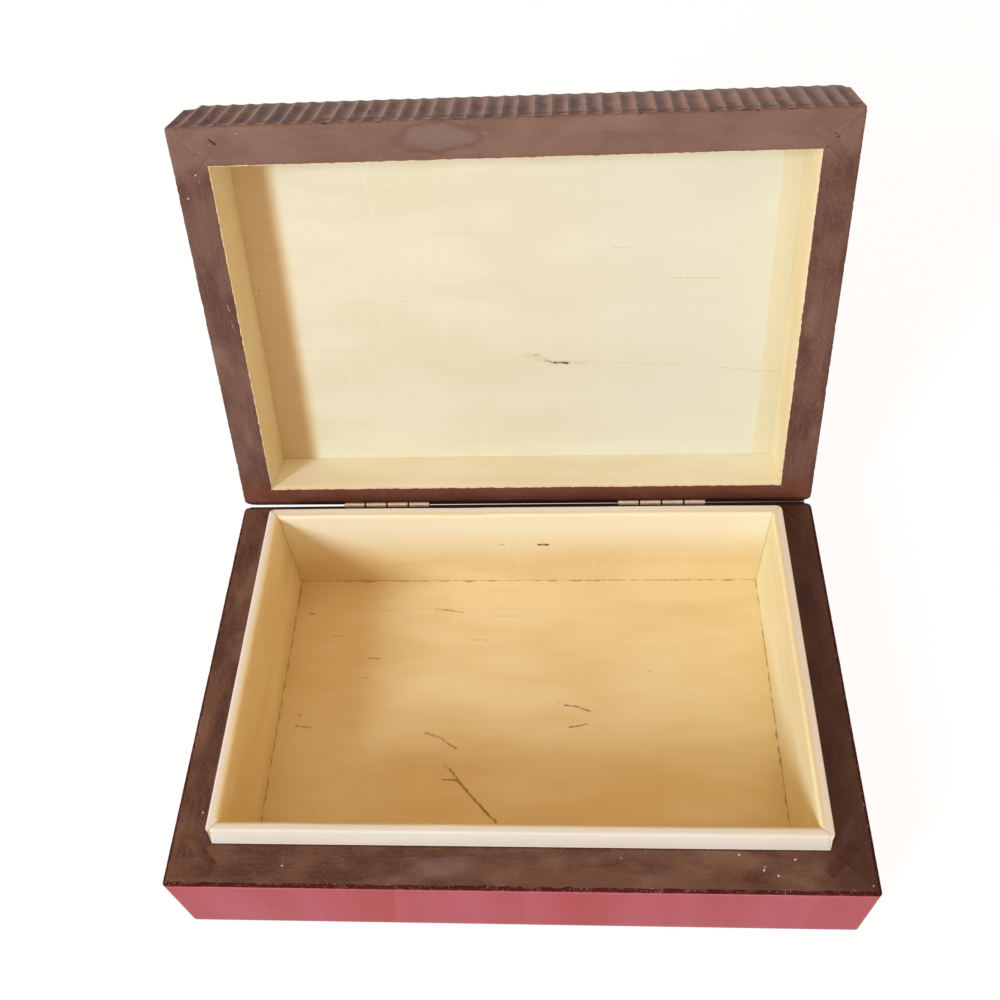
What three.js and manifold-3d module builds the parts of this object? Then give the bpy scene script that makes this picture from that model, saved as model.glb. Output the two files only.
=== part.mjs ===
// A hinged wooden trinket box, standing open. The base has four mitred walls, a thin floor and a liner whose
// top stands proud as a lip. The lid has four mitred walls, gouge-fluted on the front and the two ends, and
// shuts over the lip. Two small butt hinges sit in a bevel along the back.
// Millimetres, +Z up, +X to the right, the front towards -Y. The origin is the centre of the base's underside.
import * as THREE from "three";
import { mergeVertices } from "three/addons/utils/BufferGeometryUtils.js";
import Module from "manifold-3d";

const wasm = await Module();
wasm.setup();

// Overall sizes
const boxWidth = 221;
const boxDepth = 153;
const baseHeight = 37.5;
const lidHeight = 28;
const lidOpenDegrees = 107.7;
const seamGap = 0.3; // between the two rims when the lid is shut

// Base walls and floor
const wallThickness = 13.3;
const frontCornerRadius = 1;
const rearCornerRadius = 2.5;
const rimArris = 0.5;
const bottomArris = 2;
const bottomThickness = 2;
const rebateWidth = 5;
const panelClearance = 0.2; // from a panel's edge to the rebate round it
const mitreGap = 0.1;

// Loose tongues across the mitres
const splineLength = 13;
const splineThickness = 3.4;
const splineInset = 10.5; // from the outer faces to the tongue's middle
const splineClearance = 0.15;

// Liner strips, whose tops are the lip
const linerThickness = 4.1;
const linerClearance = 0.1; // from the liner to the base walls
const linerMitreGap = 0.15;
const linerCornerRadius = 2.2;
const lipHeight = 9.2;
const lipFrontTaper = 0.3; // the front strip's lip leans in, clear of the lid's swing
const lipOuterArris = 0.5;
const lipInnerRadius = 1.4;

// Lid walls and top
const lidFrontClearance = 0.2; // from the base wall's inner face line to the lid's, front and back
const lidEndClearance = 0.8; // the same at the two ends
const lidInnerDepth = 21.8;
const lidPanelSeat = 0.3; // between the ledge and the top panel
const lidTopRecess = 0.5; // from the walls' top down to the panel's
const lidTopRadius = 2;
const lidRimArris = 0.8;

// Gouged flutes round the lid
const flutePitch = 5.4; // rounded to a whole number of flutes on each face
const fluteWidth = 4.6;
const fluteDepth = 1;
const fluteFoot = 4.5; // height of the plain band below the flutes

// Hinges
const bevelRun = 5.9; // from the back face to the rim's back edge
const hingeSpacing = 107;
const hingeLength = 33.6;
const knuckleGap = 0.45;
const barrelRadius = 1;
const barrelClearance = 0.25;
const pinRadius = 0.5;
const pinClearance = 0.1;
const leafThickness = 0.5;
const leafWidth = 7; // from the pin's axis
const leafSeat = 0.05; // between a leaf and the bevel it is nailed to
const leafGap = 0.3; // between the two leaves when the lid is open
const nailSpacing = 11.5;
const nailInset = 2.6; // from the leaf's free edge to the nails
const nailHeadRadius = 1.2;
const nailHeadSunk = 0.03;
const nailShankRadius = 0.6;
const nailLength = 8;
const nailClearance = 0.06;

// Counts
const knuckleCount = 4;
const nailCount = 3;
const fluteFacets = 4;
const cornerFacets = 4;
const barrelSides = 12;
const nailSides = 10;
const past = 1; // how far a cutter reaches past what it cuts

// Derived sizes of the base
const halfWidth = boxWidth / 2;
const halfDepth = boxDepth / 2;
const linerOuterX = halfWidth - wallThickness - linerClearance;
const linerOuterY = halfDepth - wallThickness - linerClearance;
const lipTop = baseHeight + lipHeight;
const floorPanelX = halfWidth - wallThickness + rebateWidth - panelClearance;
const floorPanelY = halfDepth - wallThickness + rebateWidth - panelClearance;

// Derived sizes of the lid
const lidFrontThickness = wallThickness - lidFrontClearance;
const lidEndThickness = wallThickness - lidEndClearance;
const lidLedge = lidInnerDepth - lidPanelSeat;
const topPanelThickness = lidHeight - lidTopRecess - lidInnerDepth;
const topPanelX = halfWidth - lidEndThickness + rebateWidth - panelClearance;
const topPanelY = halfDepth - lidFrontThickness + rebateWidth - panelClearance;

// Derived sizes of the hinges. The two bevels make a V that the lid's opening closes, so each slopes by half
// of the opening angle, and the leaves between them are the lid's stop.
const lidOpenAngle = THREE.MathUtils.degToRad(lidOpenDegrees);
const bevelAngle = lidOpenAngle / 2;
const leafFace = leafGap / 2;
const bevelOffset = leafFace + leafThickness + leafSeat;
const axisPastRim = (bevelOffset - (seamGap / 2) * Math.cos(bevelAngle)) / Math.sin(bevelAngle);
const axisY = halfDepth - bevelRun + axisPastRim;
const axisZ = baseHeight + seamGap / 2;
const knuckleLength = (hingeLength - (knuckleCount - 1) * knuckleGap) / knuckleCount;
const reliefRadius = barrelRadius + barrelClearance;
const nailLine = leafWidth - nailInset;
const nailTop = -leafFace - nailHeadSunk;
const bevelLength = bevelRun / Math.cos(bevelAngle);
const bevelDrop = bevelRun * Math.tan(bevelAngle);

// Turns a three.js geometry into a manifold solid
function solidOf(geometry) {
  const bare = geometry.clone();
  bare.deleteAttribute("normal");
  bare.deleteAttribute("uv");
  const merged = mergeVertices(bare, 1e-4);
  const mesh = new wasm.Mesh({
    numProp: 3,
    vertProperties: new Float32Array(merged.attributes.position.array),
    triVerts: new Uint32Array(merged.index.array),
  });
  return new wasm.Manifold(mesh);
}

// Turns a manifold solid into a three.js geometry
function geometryOf(solid) {
  const mesh = solid.getMesh();
  const geometry = new THREE.BufferGeometry();
  geometry.setAttribute("position", new THREE.BufferAttribute(new Float32Array(mesh.vertProperties), 3));
  geometry.setIndex(new THREE.BufferAttribute(new Uint32Array(mesh.triVerts), 1));
  const flat = geometry.toNonIndexed();
  flat.computeVertexNormals();
  return flat;
}

// A plan outline of [x, y] points, raised from one height to another
function uprightPrism(points, bottom, top) {
  const shape = new THREE.Shape(points.map(([x, y]) => new THREE.Vector2(x, y)));
  const geometry = new THREE.ExtrudeGeometry(shape, { depth: top - bottom, bevelEnabled: false });
  geometry.translate(0, 0, bottom);
  return solidOf(geometry);
}

// A profile of [y, z] points, run along X to both sides of the middle
function prismAlongX(points, halfLength) {
  const shape = new THREE.Shape(points.map(([y, z]) => new THREE.Vector2(y, z)));
  const geometry = new THREE.ExtrudeGeometry(shape, { depth: 2 * halfLength, bevelEnabled: false });
  geometry.translate(0, 0, -halfLength);
  const turn = new THREE.Matrix4().makeBasis(
    new THREE.Vector3(0, 1, 0),
    new THREE.Vector3(0, 0, 1),
    new THREE.Vector3(1, 0, 0),
  );
  return solidOf(geometry.applyMatrix4(turn));
}

// A profile of [x, z] points, run along Y to both sides of the middle
function prismAlongY(points, halfLength) {
  const shape = new THREE.Shape(points.map(([x, z]) => new THREE.Vector2(z, x)));
  const geometry = new THREE.ExtrudeGeometry(shape, { depth: 2 * halfLength, bevelEnabled: false });
  geometry.translate(0, 0, -halfLength);
  const turn = new THREE.Matrix4().makeBasis(
    new THREE.Vector3(0, 0, 1),
    new THREE.Vector3(1, 0, 0),
    new THREE.Vector3(0, 1, 0),
  );
  return solidOf(geometry.applyMatrix4(turn));
}

// A rod along X, between two places, through y = z = 0
function rodAlongX(radius, fromX, toX) {
  const geometry = new THREE.CylinderGeometry(radius, radius, toX - fromX, barrelSides);
  geometry.rotateZ(Math.PI / 2);
  geometry.translate((fromX + toX) / 2, 0, 0);
  return solidOf(geometry);
}

// A box between two corners
function boxBetween(low, high) {
  const size = high.map((value, i) => value - low[i]);
  const geometry = new THREE.BoxGeometry(...size);
  geometry.translate(...high.map((value, i) => (value + low[i]) / 2));
  return solidOf(geometry);
}

// The same solid, placed by a matrix
function placed(solid, matrix) {
  return solid.transform(matrix.elements);
}

// Points of a quarter turn about a centre, from one angle on
function quarterArc(centreX, centreY, radius, fromDegrees, facets) {
  const points = [];
  for (let i = 0; i <= facets; i += 1) {
    const angle = THREE.MathUtils.degToRad(fromDegrees + (90 * i) / facets);
    points.push([centreX + radius * Math.cos(angle), centreY + radius * Math.sin(angle)]);
  }
  return points;
}

// A rectangle round the middle, with one radius at the front corners and one at the rear
function roundedOutline(halfX, halfY, frontRadius, rearRadius) {
  return [
    ...quarterArc(-halfX + frontRadius, -halfY + frontRadius, frontRadius, 180, cornerFacets),
    ...quarterArc(halfX - frontRadius, -halfY + frontRadius, frontRadius, 270, cornerFacets),
    ...quarterArc(halfX - rearRadius, halfY - rearRadius, rearRadius, 0, cornerFacets),
    ...quarterArc(-halfX + rearRadius, halfY - rearRadius, rearRadius, 90, cornerFacets),
  ];
}

// The plan space of one wall of a mitred frame, drawn in by half of the joint's gap at each mitre
function mitreSpace(side, outerX, outerY, innerX, innerY, gap, bottom, top) {
  const run = new THREE.Vector2(outerX - innerX, outerY - innerY).normalize();
  const frontOrBack = side === "front" || side === "back";
  const shiftX = ((frontOrBack ? 1 : -1) * run.y * gap) / 2;
  const shiftY = ((frontOrBack ? -1 : 1) * run.x * gap) / 2;
  const outer = [-outerX - run.x * past + shiftX, -outerY - run.y * past + shiftY];
  const inner = [-innerX + run.x * past + shiftX, -innerY + run.y * past + shiftY];
  const mirror = frontOrBack ? ([x, y]) => [-x, y] : ([x, y]) => [x, -y];
  const outline = [outer, inner, mirror(inner), mirror(outer)];
  const sign = side === "back" || side === "right" ? -1 : 1;
  return uprightPrism(
    outline.map(([x, y]) => [sign * x, sign * y]),
    bottom - past,
    top + past,
  );
}

// One wall of a frame: its profile of [distance in from the outer face, height] run along its side
function wallAlong(side, halfX, halfY, profile) {
  const sign = side === "front" || side === "left" ? 1 : -1;
  if (side === "front" || side === "back") {
    return prismAlongX(
      profile.map(([inward, z]) => [sign * (inward - halfY), z]),
      halfX + past,
    );
  }
  return prismAlongY(
    profile.map(([inward, z]) => [sign * (inward - halfX), z]),
    halfY + past,
  );
}

const sides = ["front", "back", "left", "right"];
const corners = [
  { name: "front_left", x: -1, y: -1 },
  { name: "front_right", x: 1, y: -1 },
  { name: "back_left", x: -1, y: 1 },
  { name: "back_right", x: 1, y: 1 },
];
const hinges = [
  { name: "left", x: -hingeSpacing / 2 },
  { name: "right", x: hingeSpacing / 2 },
];

// The middle of the tongue at a corner, on the line of that corner's mitre
function splineMiddle(corner, frontThickness, endThickness) {
  const share = splineInset / wallThickness;
  return [corner.x * (halfWidth - share * endThickness), corner.y * (halfDepth - share * frontThickness)];
}

// Where a tongue lies, square across its mitre
function splinePlace(corner, frontThickness, endThickness) {
  const [x, y] = splineMiddle(corner, frontThickness, endThickness);
  const turn = new THREE.Matrix4().makeRotationZ((-corner.x * corner.y * Math.PI) / 4);
  return turn.setPosition(x, y, 0);
}

// A slot for a tongue, wider than it all round, open past one end
function splineSlot(corner, frontThickness, endThickness, bottom, top) {
  const halfLength = splineLength / 2 + splineClearance;
  const halfThickness = splineThickness / 2 + splineClearance;
  const slot = boxBetween([-halfLength, -halfThickness, bottom], [halfLength, halfThickness, top]);
  return placed(slot, splinePlace(corner, frontThickness, endThickness));
}

// A tongue, planed off with the bevel where it reaches that far back
function spline(corner, frontThickness, endThickness, bottom, top, hingeSpace) {
  const low = [-splineLength / 2, -splineThickness / 2, bottom];
  const high = [splineLength / 2, splineThickness / 2, top];
  const whole = placed(boxBetween(low, high), splinePlace(corner, frontThickness, endThickness));
  return whole.subtract(hingeSpace);
}

// Where a leaf lies: Y runs down the bevel away from the axis, and Z out of the bevel's face. The lid's leaf is
// the same piece turned over.
function leafPlace(hingeX, height, isLid) {
  const place = new THREE.Matrix4().makeRotationX(isLid ? bevelAngle : -bevelAngle);
  if (isLid) {
    place.multiply(new THREE.Matrix4().makeRotationY(Math.PI));
  }
  return place.setPosition(hingeX, axisY, height);
}

// X of each nail along its leaf, from the leaf's middle
const nailPlaces = Array.from({ length: nailCount }, (_, i) => (i - (nailCount - 1) / 2) * nailSpacing);

// A nail along Z with its head's top at z = 0, larger all round by a clearance
function nailGeometry(clearance, headTop) {
  const headRadius = nailHeadRadius + clearance;
  const shankRadius = nailShankRadius + clearance;
  const headFoot = -leafThickness;
  const tip = -nailLength - clearance;
  const profile = [
    [0, tip],
    [shankRadius, tip + nailShankRadius],
    [shankRadius, headFoot],
    [headRadius, 0],
  ];
  if (headTop > 0) {
    profile.push([headRadius, headTop]);
  }
  profile.push([0, headTop]);
  const points = profile.map(([r, z]) => new THREE.Vector2(r, z));
  const geometry = new THREE.LatheGeometry(points, nailSides);
  return geometry.rotateX(Math.PI / 2);
}

// The holes for one leaf's nails, in the leaf's own place
function nailHoles() {
  const hole = solidOf(nailGeometry(nailClearance, past));
  const holes = nailPlaces.map((x) => hole.translate([x, nailLine, nailTop]));
  return wasm.Manifold.union(holes);
}

// All that the hinges take out of a wall: the bevel, the relief round each barrel and the nail holes
function hingeCut(height, isLid) {
  const bevel = boxBetween(
    [-halfWidth - past, -reliefRadius, -bevelOffset],
    [halfWidth + past, bevelLength + past, bevelRun + past],
  );
  let cut = placed(bevel, leafPlace(0, height, isLid));
  const halfLength = hingeLength / 2 + barrelClearance;
  const hingeSpace = rodAlongX(reliefRadius, -halfLength, halfLength).add(nailHoles());
  for (const hinge of hinges) {
    cut = cut.add(placed(hingeSpace, leafPlace(hinge.x, height, isLid)));
  }
  return cut;
}

// What rounds the edges between a bevel and the two end faces, in line with the rear corners
function bevelEnds(rim, isLid) {
  const up = isLid ? 1 : -1;
  const rimBack = halfDepth - bevelRun;
  const outline = [
    [halfWidth + past, rimBack - rearCornerRadius],
    ...quarterArc(halfWidth - rearCornerRadius, rimBack - rearCornerRadius, rearCornerRadius, 0, cornerFacets),
    [halfWidth - rearCornerRadius, rimBack + past],
    [halfWidth + past, rimBack + past],
  ];
  const heights = [rim - up * past, rim + up * bevelDrop];
  const upright = uprightPrism(outline, Math.min(...heights), Math.max(...heights));
  const lean = (up * bevelRun) / bevelDrop;
  const leaning = new THREE.Matrix4().set(1, 0, 0, 0, 0, 1, lean, -lean * rim, 0, 0, 1, 0, 0, 0, 0, 1);
  const right = placed(upright, leaning);
  return right.add(right.mirror([1, 0, 0]));
}

// The base walls
const baseWallProfile = [
  ...quarterArc(bottomArris, bottomArris, bottomArris, 180, cornerFacets),
  [wallThickness - rebateWidth, 0],
  [wallThickness - rebateWidth, bottomThickness],
  [wallThickness, bottomThickness],
  [wallThickness, baseHeight],
  [rimArris, baseHeight],
  [0, baseHeight - rimArris],
];
const baseOutline = uprightPrism(
  roundedOutline(halfWidth, halfDepth, frontCornerRadius, rearCornerRadius),
  -past,
  baseHeight + past,
);
const baseHingeSpace = hingeCut(axisZ, false);
let baseCuts = baseHingeSpace.add(bevelEnds(baseHeight, false));
for (const corner of corners) {
  const slot = splineSlot(corner, wallThickness, wallThickness, bottomThickness, baseHeight + past);
  baseCuts = baseCuts.add(slot);
}
function baseWall(side) {
  const space = mitreSpace(
    side,
    halfWidth,
    halfDepth,
    halfWidth - wallThickness,
    halfDepth - wallThickness,
    mitreGap,
    0,
    baseHeight,
  );
  const wall = wallAlong(side, halfWidth, halfDepth, baseWallProfile);
  return wall.intersect(space).intersect(baseOutline).subtract(baseCuts);
}

// The liner strips, which stand on the floor panel
function linerProfile(taper) {
  return [
    [0, bottomThickness],
    [linerThickness, bottomThickness],
    ...quarterArc(linerThickness - lipInnerRadius, lipTop - lipInnerRadius, lipInnerRadius, 0, cornerFacets),
    [taper + lipOuterArris, lipTop],
    [taper, lipTop - lipOuterArris],
    [0, baseHeight],
  ];
}
const linerOutline = uprightPrism(
  roundedOutline(linerOuterX, linerOuterY, linerCornerRadius, linerCornerRadius),
  bottomThickness - past,
  lipTop + past,
);
function linerStrip(side) {
  const space = mitreSpace(
    side,
    linerOuterX,
    linerOuterY,
    linerOuterX - linerThickness,
    linerOuterY - linerThickness,
    linerMitreGap,
    bottomThickness,
    lipTop,
  );
  const strip = wallAlong(side, linerOuterX, linerOuterY, linerProfile(side === "front" ? lipFrontTaper : 0));
  return strip.intersect(space).intersect(linerOutline);
}

// The lid walls, drawn shut, with z = 0 at the lid's rim
function lidWallProfile(thickness) {
  return [
    [lidRimArris, 0],
    [thickness, 0],
    [thickness, lidLedge],
    [thickness - rebateWidth, lidLedge],
    [thickness - rebateWidth, lidHeight],
    ...quarterArc(lidTopRadius, lidHeight - lidTopRadius, lidTopRadius, 90, cornerFacets),
    [0, lidRimArris],
  ];
}

// A flute's outline across a face, [along the face, into the face]
function fluteOutline() {
  const radius = (fluteWidth * fluteWidth) / 8 / fluteDepth + fluteDepth / 2;
  const halfAngle = Math.asin(fluteWidth / 2 / radius);
  const points = [];
  for (let i = 0; i <= fluteFacets; i += 1) {
    const angle = halfAngle * ((2 * i) / fluteFacets - 1);
    points.push([radius * Math.sin(angle), radius * Math.cos(angle) - radius + fluteDepth]);
  }
  points.push([fluteWidth / 2, -past], [-fluteWidth / 2, -past]);
  return points;
}

// Middles of the flutes on a face, a whole number of them, evenly spaced
function fluteMiddles(faceWidth) {
  const count = Math.round(faceWidth / flutePitch);
  const pitch = faceWidth / count;
  return Array.from({ length: count }, (_, i) => (i + 0.5) * pitch - faceWidth / 2);
}

const lidOutline = uprightPrism(
  roundedOutline(halfWidth, halfDepth, frontCornerRadius, rearCornerRadius),
  -past,
  lidHeight + past,
);
const lidHingeSpace = hingeCut(-seamGap / 2, true);
let lidCuts = lidHingeSpace.add(bevelEnds(0, true));
for (const corner of corners) {
  lidCuts = lidCuts.add(splineSlot(corner, lidFrontThickness, lidEndThickness, -past, lidLedge + past));
}
const flutes = [];
for (const middle of fluteMiddles(boxWidth)) {
  const outline = fluteOutline().map(([along, into]) => [middle + along, into - halfDepth]);
  flutes.push(uprightPrism(outline, fluteFoot, lidHeight + past));
}
for (const middle of fluteMiddles(boxDepth)) {
  const leftOutline = fluteOutline().map(([along, into]) => [into - halfWidth, middle + along]);
  const rightOutline = leftOutline.map(([x, y]) => [-x, y]);
  flutes.push(uprightPrism(leftOutline, fluteFoot, lidHeight + past));
  flutes.push(uprightPrism(rightOutline, fluteFoot, lidHeight + past));
}
lidCuts = lidCuts.add(wasm.Manifold.union(flutes));
function lidWall(side) {
  const thickness = side === "front" || side === "back" ? lidFrontThickness : lidEndThickness;
  const space = mitreSpace(
    side,
    halfWidth,
    halfDepth,
    halfWidth - lidEndThickness,
    halfDepth - lidFrontThickness,
    mitreGap,
    0,
    lidHeight,
  );
  const wall = wallAlong(side, halfWidth, halfDepth, lidWallProfile(thickness));
  return wall.intersect(space).intersect(lidOutline).subtract(lidCuts);
}

// A hinge leaf in its own place, with every other knuckle. Turned over, it fills the gaps of its fellow.
function hingeLeaf() {
  const half = hingeLength / 2;
  let leaf = boxBetween([-half, 0, -leafFace - leafThickness], [half, leafWidth, -leafFace]);
  for (let i = 0; i < knuckleCount; i += 1) {
    const start = -half + i * (knuckleLength + knuckleGap);
    const end = start + knuckleLength;
    if (i % 2 === 0) {
      leaf = leaf.add(rodAlongX(barrelRadius, start, end));
    } else {
      const low = [start - knuckleGap, -past, -barrelRadius - past];
      const high = [end + knuckleGap, reliefRadius, barrelRadius + past];
      leaf = leaf.subtract(boxBetween(low, high));
    }
  }
  const bore = rodAlongX(pinRadius + pinClearance, -half - past, half + past);
  return leaf.subtract(bore).subtract(nailHoles());
}

// Colours and finishes
const finishes = {
  redLacquer: { color: 0xa8525a, roughness: 0.3, metalness: 0 },
  brownStain: { color: 0x6e4f42, roughness: 0.6, metalness: 0 },
  darkStain: { color: 0x5a3f35, roughness: 0.65, metalness: 0 },
  bareWood: { color: 0xead7ae, roughness: 0.65, metalness: 0 },
  brass: { color: 0xc79a86, roughness: 0.35, metalness: 0.9 },
};
function namedMesh(name, geometry, finish) {
  const material = new THREE.MeshStandardMaterial({ ...finishes[finish], flatShading: true });
  const mesh = new THREE.Mesh(geometry, material);
  mesh.name = name;
  return mesh;
}

// The base
const base = new THREE.Group();
for (const side of sides) {
  base.add(namedMesh("base_" + side + "_wall", geometryOf(baseWall(side)), "redLacquer"));
}
for (const corner of corners) {
  const tongue = spline(corner, wallThickness, wallThickness, bottomThickness, baseHeight, baseHingeSpace);
  base.add(namedMesh("base_spline_" + corner.name, geometryOf(tongue), "darkStain"));
}
const floorGeometry = new THREE.BoxGeometry(2 * floorPanelX, 2 * floorPanelY, bottomThickness);
const floorPanel = namedMesh("bottom_panel", floorGeometry, "bareWood");
floorPanel.position.z = bottomThickness / 2;
base.add(floorPanel);
for (const side of sides) {
  base.add(namedMesh("liner_" + side, geometryOf(linerStrip(side)), "bareWood"));
}

// The lid, which turns about the hinges' axis. Inside the turning group it is drawn shut.
const lidTurn = new THREE.Group();
lidTurn.position.set(0, axisY, axisZ);
lidTurn.rotation.x = -lidOpenAngle;
const lid = new THREE.Group();
lid.position.set(0, -axisY, seamGap / 2);
lidTurn.add(lid);
for (const side of sides) {
  lid.add(namedMesh("lid_" + side + "_wall", geometryOf(lidWall(side)), "brownStain"));
}
const lidSplineTop = lidLedge - lidPanelSeat;
for (const corner of corners) {
  const tongue = spline(corner, lidFrontThickness, lidEndThickness, 0, lidSplineTop, lidHingeSpace);
  lid.add(namedMesh("lid_spline_" + corner.name, geometryOf(tongue), "darkStain"));
}
const topGeometry = new THREE.BoxGeometry(2 * topPanelX, 2 * topPanelY, topPanelThickness);
const topPanel = namedMesh("lid_top_panel", topGeometry, "bareWood");
topPanel.position.z = lidInnerDepth + topPanelThickness / 2;
lid.add(topPanel);

// The hinges. The pins ride with the base.
const leafGeometry = geometryOf(hingeLeaf());
const plainNail = nailGeometry(0, 0);
function addHalf(group, hinge, height, isLid) {
  const half = new THREE.Group();
  half.applyMatrix4(leafPlace(hinge.x, height, isLid));
  const prefix = "hinge_" + hinge.name + (isLid ? "_lid" : "_base");
  half.add(namedMesh(prefix + "_leaf", leafGeometry, "brass"));
  nailPlaces.forEach((x, i) => {
    const nail = namedMesh(prefix + "_nail_" + (i + 1), plainNail, "brass");
    nail.position.set(x, nailLine, nailTop);
    half.add(nail);
  });
  group.add(half);
}
for (const hinge of hinges) {
  addHalf(base, hinge, axisZ, false);
  addHalf(lid, hinge, -seamGap / 2, true);
  const pinGeometry = new THREE.CylinderGeometry(pinRadius, pinRadius, hingeLength, barrelSides);
  const pin = namedMesh("hinge_" + hinge.name + "_pin", pinGeometry, "brass");
  pin.rotation.z = Math.PI / 2;
  pin.position.set(hinge.x, axisY, axisZ);
  base.add(pin);
}

const box = new THREE.Group();
box.add(base);
box.add(lidTurn);
export default box;
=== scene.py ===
import math

import bmesh
import bpy
import numpy as np
from mathutils import Matrix, Vector


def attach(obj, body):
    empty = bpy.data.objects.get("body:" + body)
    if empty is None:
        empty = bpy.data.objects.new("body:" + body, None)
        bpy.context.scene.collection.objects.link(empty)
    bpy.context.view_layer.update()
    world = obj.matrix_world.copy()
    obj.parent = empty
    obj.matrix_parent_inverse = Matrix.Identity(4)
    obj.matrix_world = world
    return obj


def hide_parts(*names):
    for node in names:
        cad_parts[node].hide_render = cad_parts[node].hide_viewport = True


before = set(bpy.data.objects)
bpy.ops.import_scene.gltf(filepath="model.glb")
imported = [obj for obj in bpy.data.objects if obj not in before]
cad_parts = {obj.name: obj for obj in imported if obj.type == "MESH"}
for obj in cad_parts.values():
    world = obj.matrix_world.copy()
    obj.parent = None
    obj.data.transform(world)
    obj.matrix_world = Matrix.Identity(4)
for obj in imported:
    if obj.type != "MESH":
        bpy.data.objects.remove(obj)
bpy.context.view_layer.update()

MM = 0.001
PAST = 1

# The photograph's camera
CAMERA_PLACE = (17.287, -180.193, 371.078)
CAMERA_PITCH = -51.931
CAMERA_YAW = 5.85
CAMERA_ROLL = 5.16
CAMERA_LENS = 38.551
CAMERA_SENSOR = 36
CAMERA_SHIFT_Y = -0.0128

# Overall sizes
HALF_WIDTH = 110.5
HALF_DEPTH = 76.5
BASE_HEIGHT = 37.5
LID_HEIGHT = 28
LID_OPEN = math.radians(107.7)
SEAM_GAP = 0.3

# Base walls and floor
WALL = 13.3
FRONT_RADIUS = 1
REAR_RADIUS = 2.5
BOTTOM_ARRIS = 2
FLOOR = 2
REBATE = 5
PANEL_CLEARANCE = 0.2
MITRE_GAP = 0.06

# Tongues across the mitres
SPLINE_LENGTH = 13
SPLINE_THICKNESS = 3.4
SPLINE_INSET = 10.5
SPLINE_CLEARANCE = 0.02

# Liner strips
LINER = 4.1
LINER_CLEARANCE = 0.1
LINER_MITRE_GAP = 0.15
LINER_RADIUS = 2.2
LIP_TOP = BASE_HEIGHT + 9.2
LIP_FRONT_TAPER = 0.9
LIP_OUTER_ARRIS = 0.5
LIP_INNER_RADIUS = 1.4

# Lid
LID_FRONT_WALL = 13.1
LID_END_WALL = 12.5
LID_DEPTH = 21.8
LID_LEDGE = 21.75
LID_PANEL_TOP = 27.5
LID_TOP_RADIUS = 2

# Gouged flutes
FLUTE_PITCH = 5.4
FLUTE_FOOT = 4.5
FLUTE_DEPTH = 0.95

# Hinges
HINGE_SPACING = 107
HINGE_LENGTH = 33.6
KNUCKLES = 4
KNUCKLE_GAP = 0.45
KNUCKLE_EASE = 0.12
BARREL_RADIUS = 1
BARREL_CLEARANCE = 0.25
PIN_RADIUS = 0.5
PIN_CLEARANCE = 0.1
LEAF_THICKNESS = 0.5
LEAF_WIDTH = 7
LEAF_SEAT = 0.05
LEAF_GAP = 0.3
BEVEL_RUN = 5.9
LEFT_BEVEL = (0.52, 0.42)
FULL_BEVEL = (0.17, 0.07)
BED_CLEARANCE = 0.1
NAILS = 3
NAIL_SPACING = 11.5
NAIL_INSET = 2.6
NAIL_HEAD = 1.2
NAIL_SHANK = 0.6
NAIL_LENGTH = 8
NAIL_SUNK = 0.03

BEVEL_ANGLE = LID_OPEN / 2
BEVEL_DROP = BEVEL_RUN * math.tan(BEVEL_ANGLE)
HALF_HINGE = HINGE_LENGTH / 2
LEAF_FACE = LEAF_GAP / 2
BEVEL_OFFSET = LEAF_FACE + LEAF_THICKNESS + LEAF_SEAT
AXIS_PAST_RIM = (BEVEL_OFFSET - SEAM_GAP / 2 * math.cos(BEVEL_ANGLE)) / math.sin(BEVEL_ANGLE)
AXIS_Y = HALF_DEPTH - BEVEL_RUN + AXIS_PAST_RIM
AXIS_Z = BASE_HEIGHT + SEAM_GAP / 2

CORNERS = {
    "front_left": (-1, -1),
    "front_right": (1, -1),
    "back_left": (-1, 1),
    "back_right": (1, 1),
}
HINGES = {"left": -HINGE_SPACING / 2, "right": HINGE_SPACING / 2}


# Numbers and points


def wander(positions, step, seed):
    """Smooth random values from -1 to 1 along a line, which change over about one step."""
    shifted = np.asarray(positions, float) / step + 500
    cell = np.floor(shifted).astype(int)
    share = shifted - cell
    share = share * share * (3 - 2 * share)
    values = np.random.default_rng(seed).uniform(-1, 1, 1200)
    return values[cell] * (1 - share) + values[cell + 1] * share


def smooth_step(value):
    """0 below 0, 1 above 1, and smooth between."""
    clipped = np.clip(value, 0, 1)
    return clipped * clipped * (3 - 2 * clipped)


def chips(positions, seed):
    """How much of an arris is worn off along it, from 0 to 1: a little everywhere, more at a few nicks."""
    rub = 0.5 + 0.5 * wander(positions, 7, seed)
    nick = smooth_step((wander(positions, 1.3, seed + 1) - 0.45) / 0.5)
    fine = 0.5 + 0.5 * wander(positions, 0.8, seed + 2)
    return np.clip(0.3 * rub + 0.25 * fine + 0.6 * nick, 0, 1)


def arc(centre_d, centre_h, radius, start, facets):
    """Points of a quarter turn, from an angle in degrees on."""
    angles = [math.radians(start + 90 * i / facets) for i in range(facets + 1)]
    return [(centre_d + radius * math.cos(a), centre_h + radius * math.sin(a)) for a in angles]


def spread(start, end, count):
    """Points between two places, without the places themselves."""
    shares = [(i + 1) / (count + 1) for i in range(count)]
    return [tuple(a + (b - a) * share for a, b in zip(start, end)) for share in shares]


# Objects


def linked(name, data):
    """A new object in the scene."""
    made = bpy.data.objects.new(name, data)
    bpy.context.scene.collection.objects.link(made)
    return made


def object_of(name, points, faces):
    """An object with a mesh of points in millimetres, all its faces turned outward."""
    mesh = bpy.data.meshes.new(name)
    mesh.from_pydata([tuple(MM * value for value in point) for point in points], [], faces)
    shell = bmesh.new()
    shell.from_mesh(mesh)
    bmesh.ops.remove_doubles(shell, verts=shell.verts, dist=1e-7)
    bmesh.ops.recalc_face_normals(shell, faces=shell.faces)
    shell.to_mesh(mesh)
    shell.free()
    return linked(name, mesh)


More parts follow.
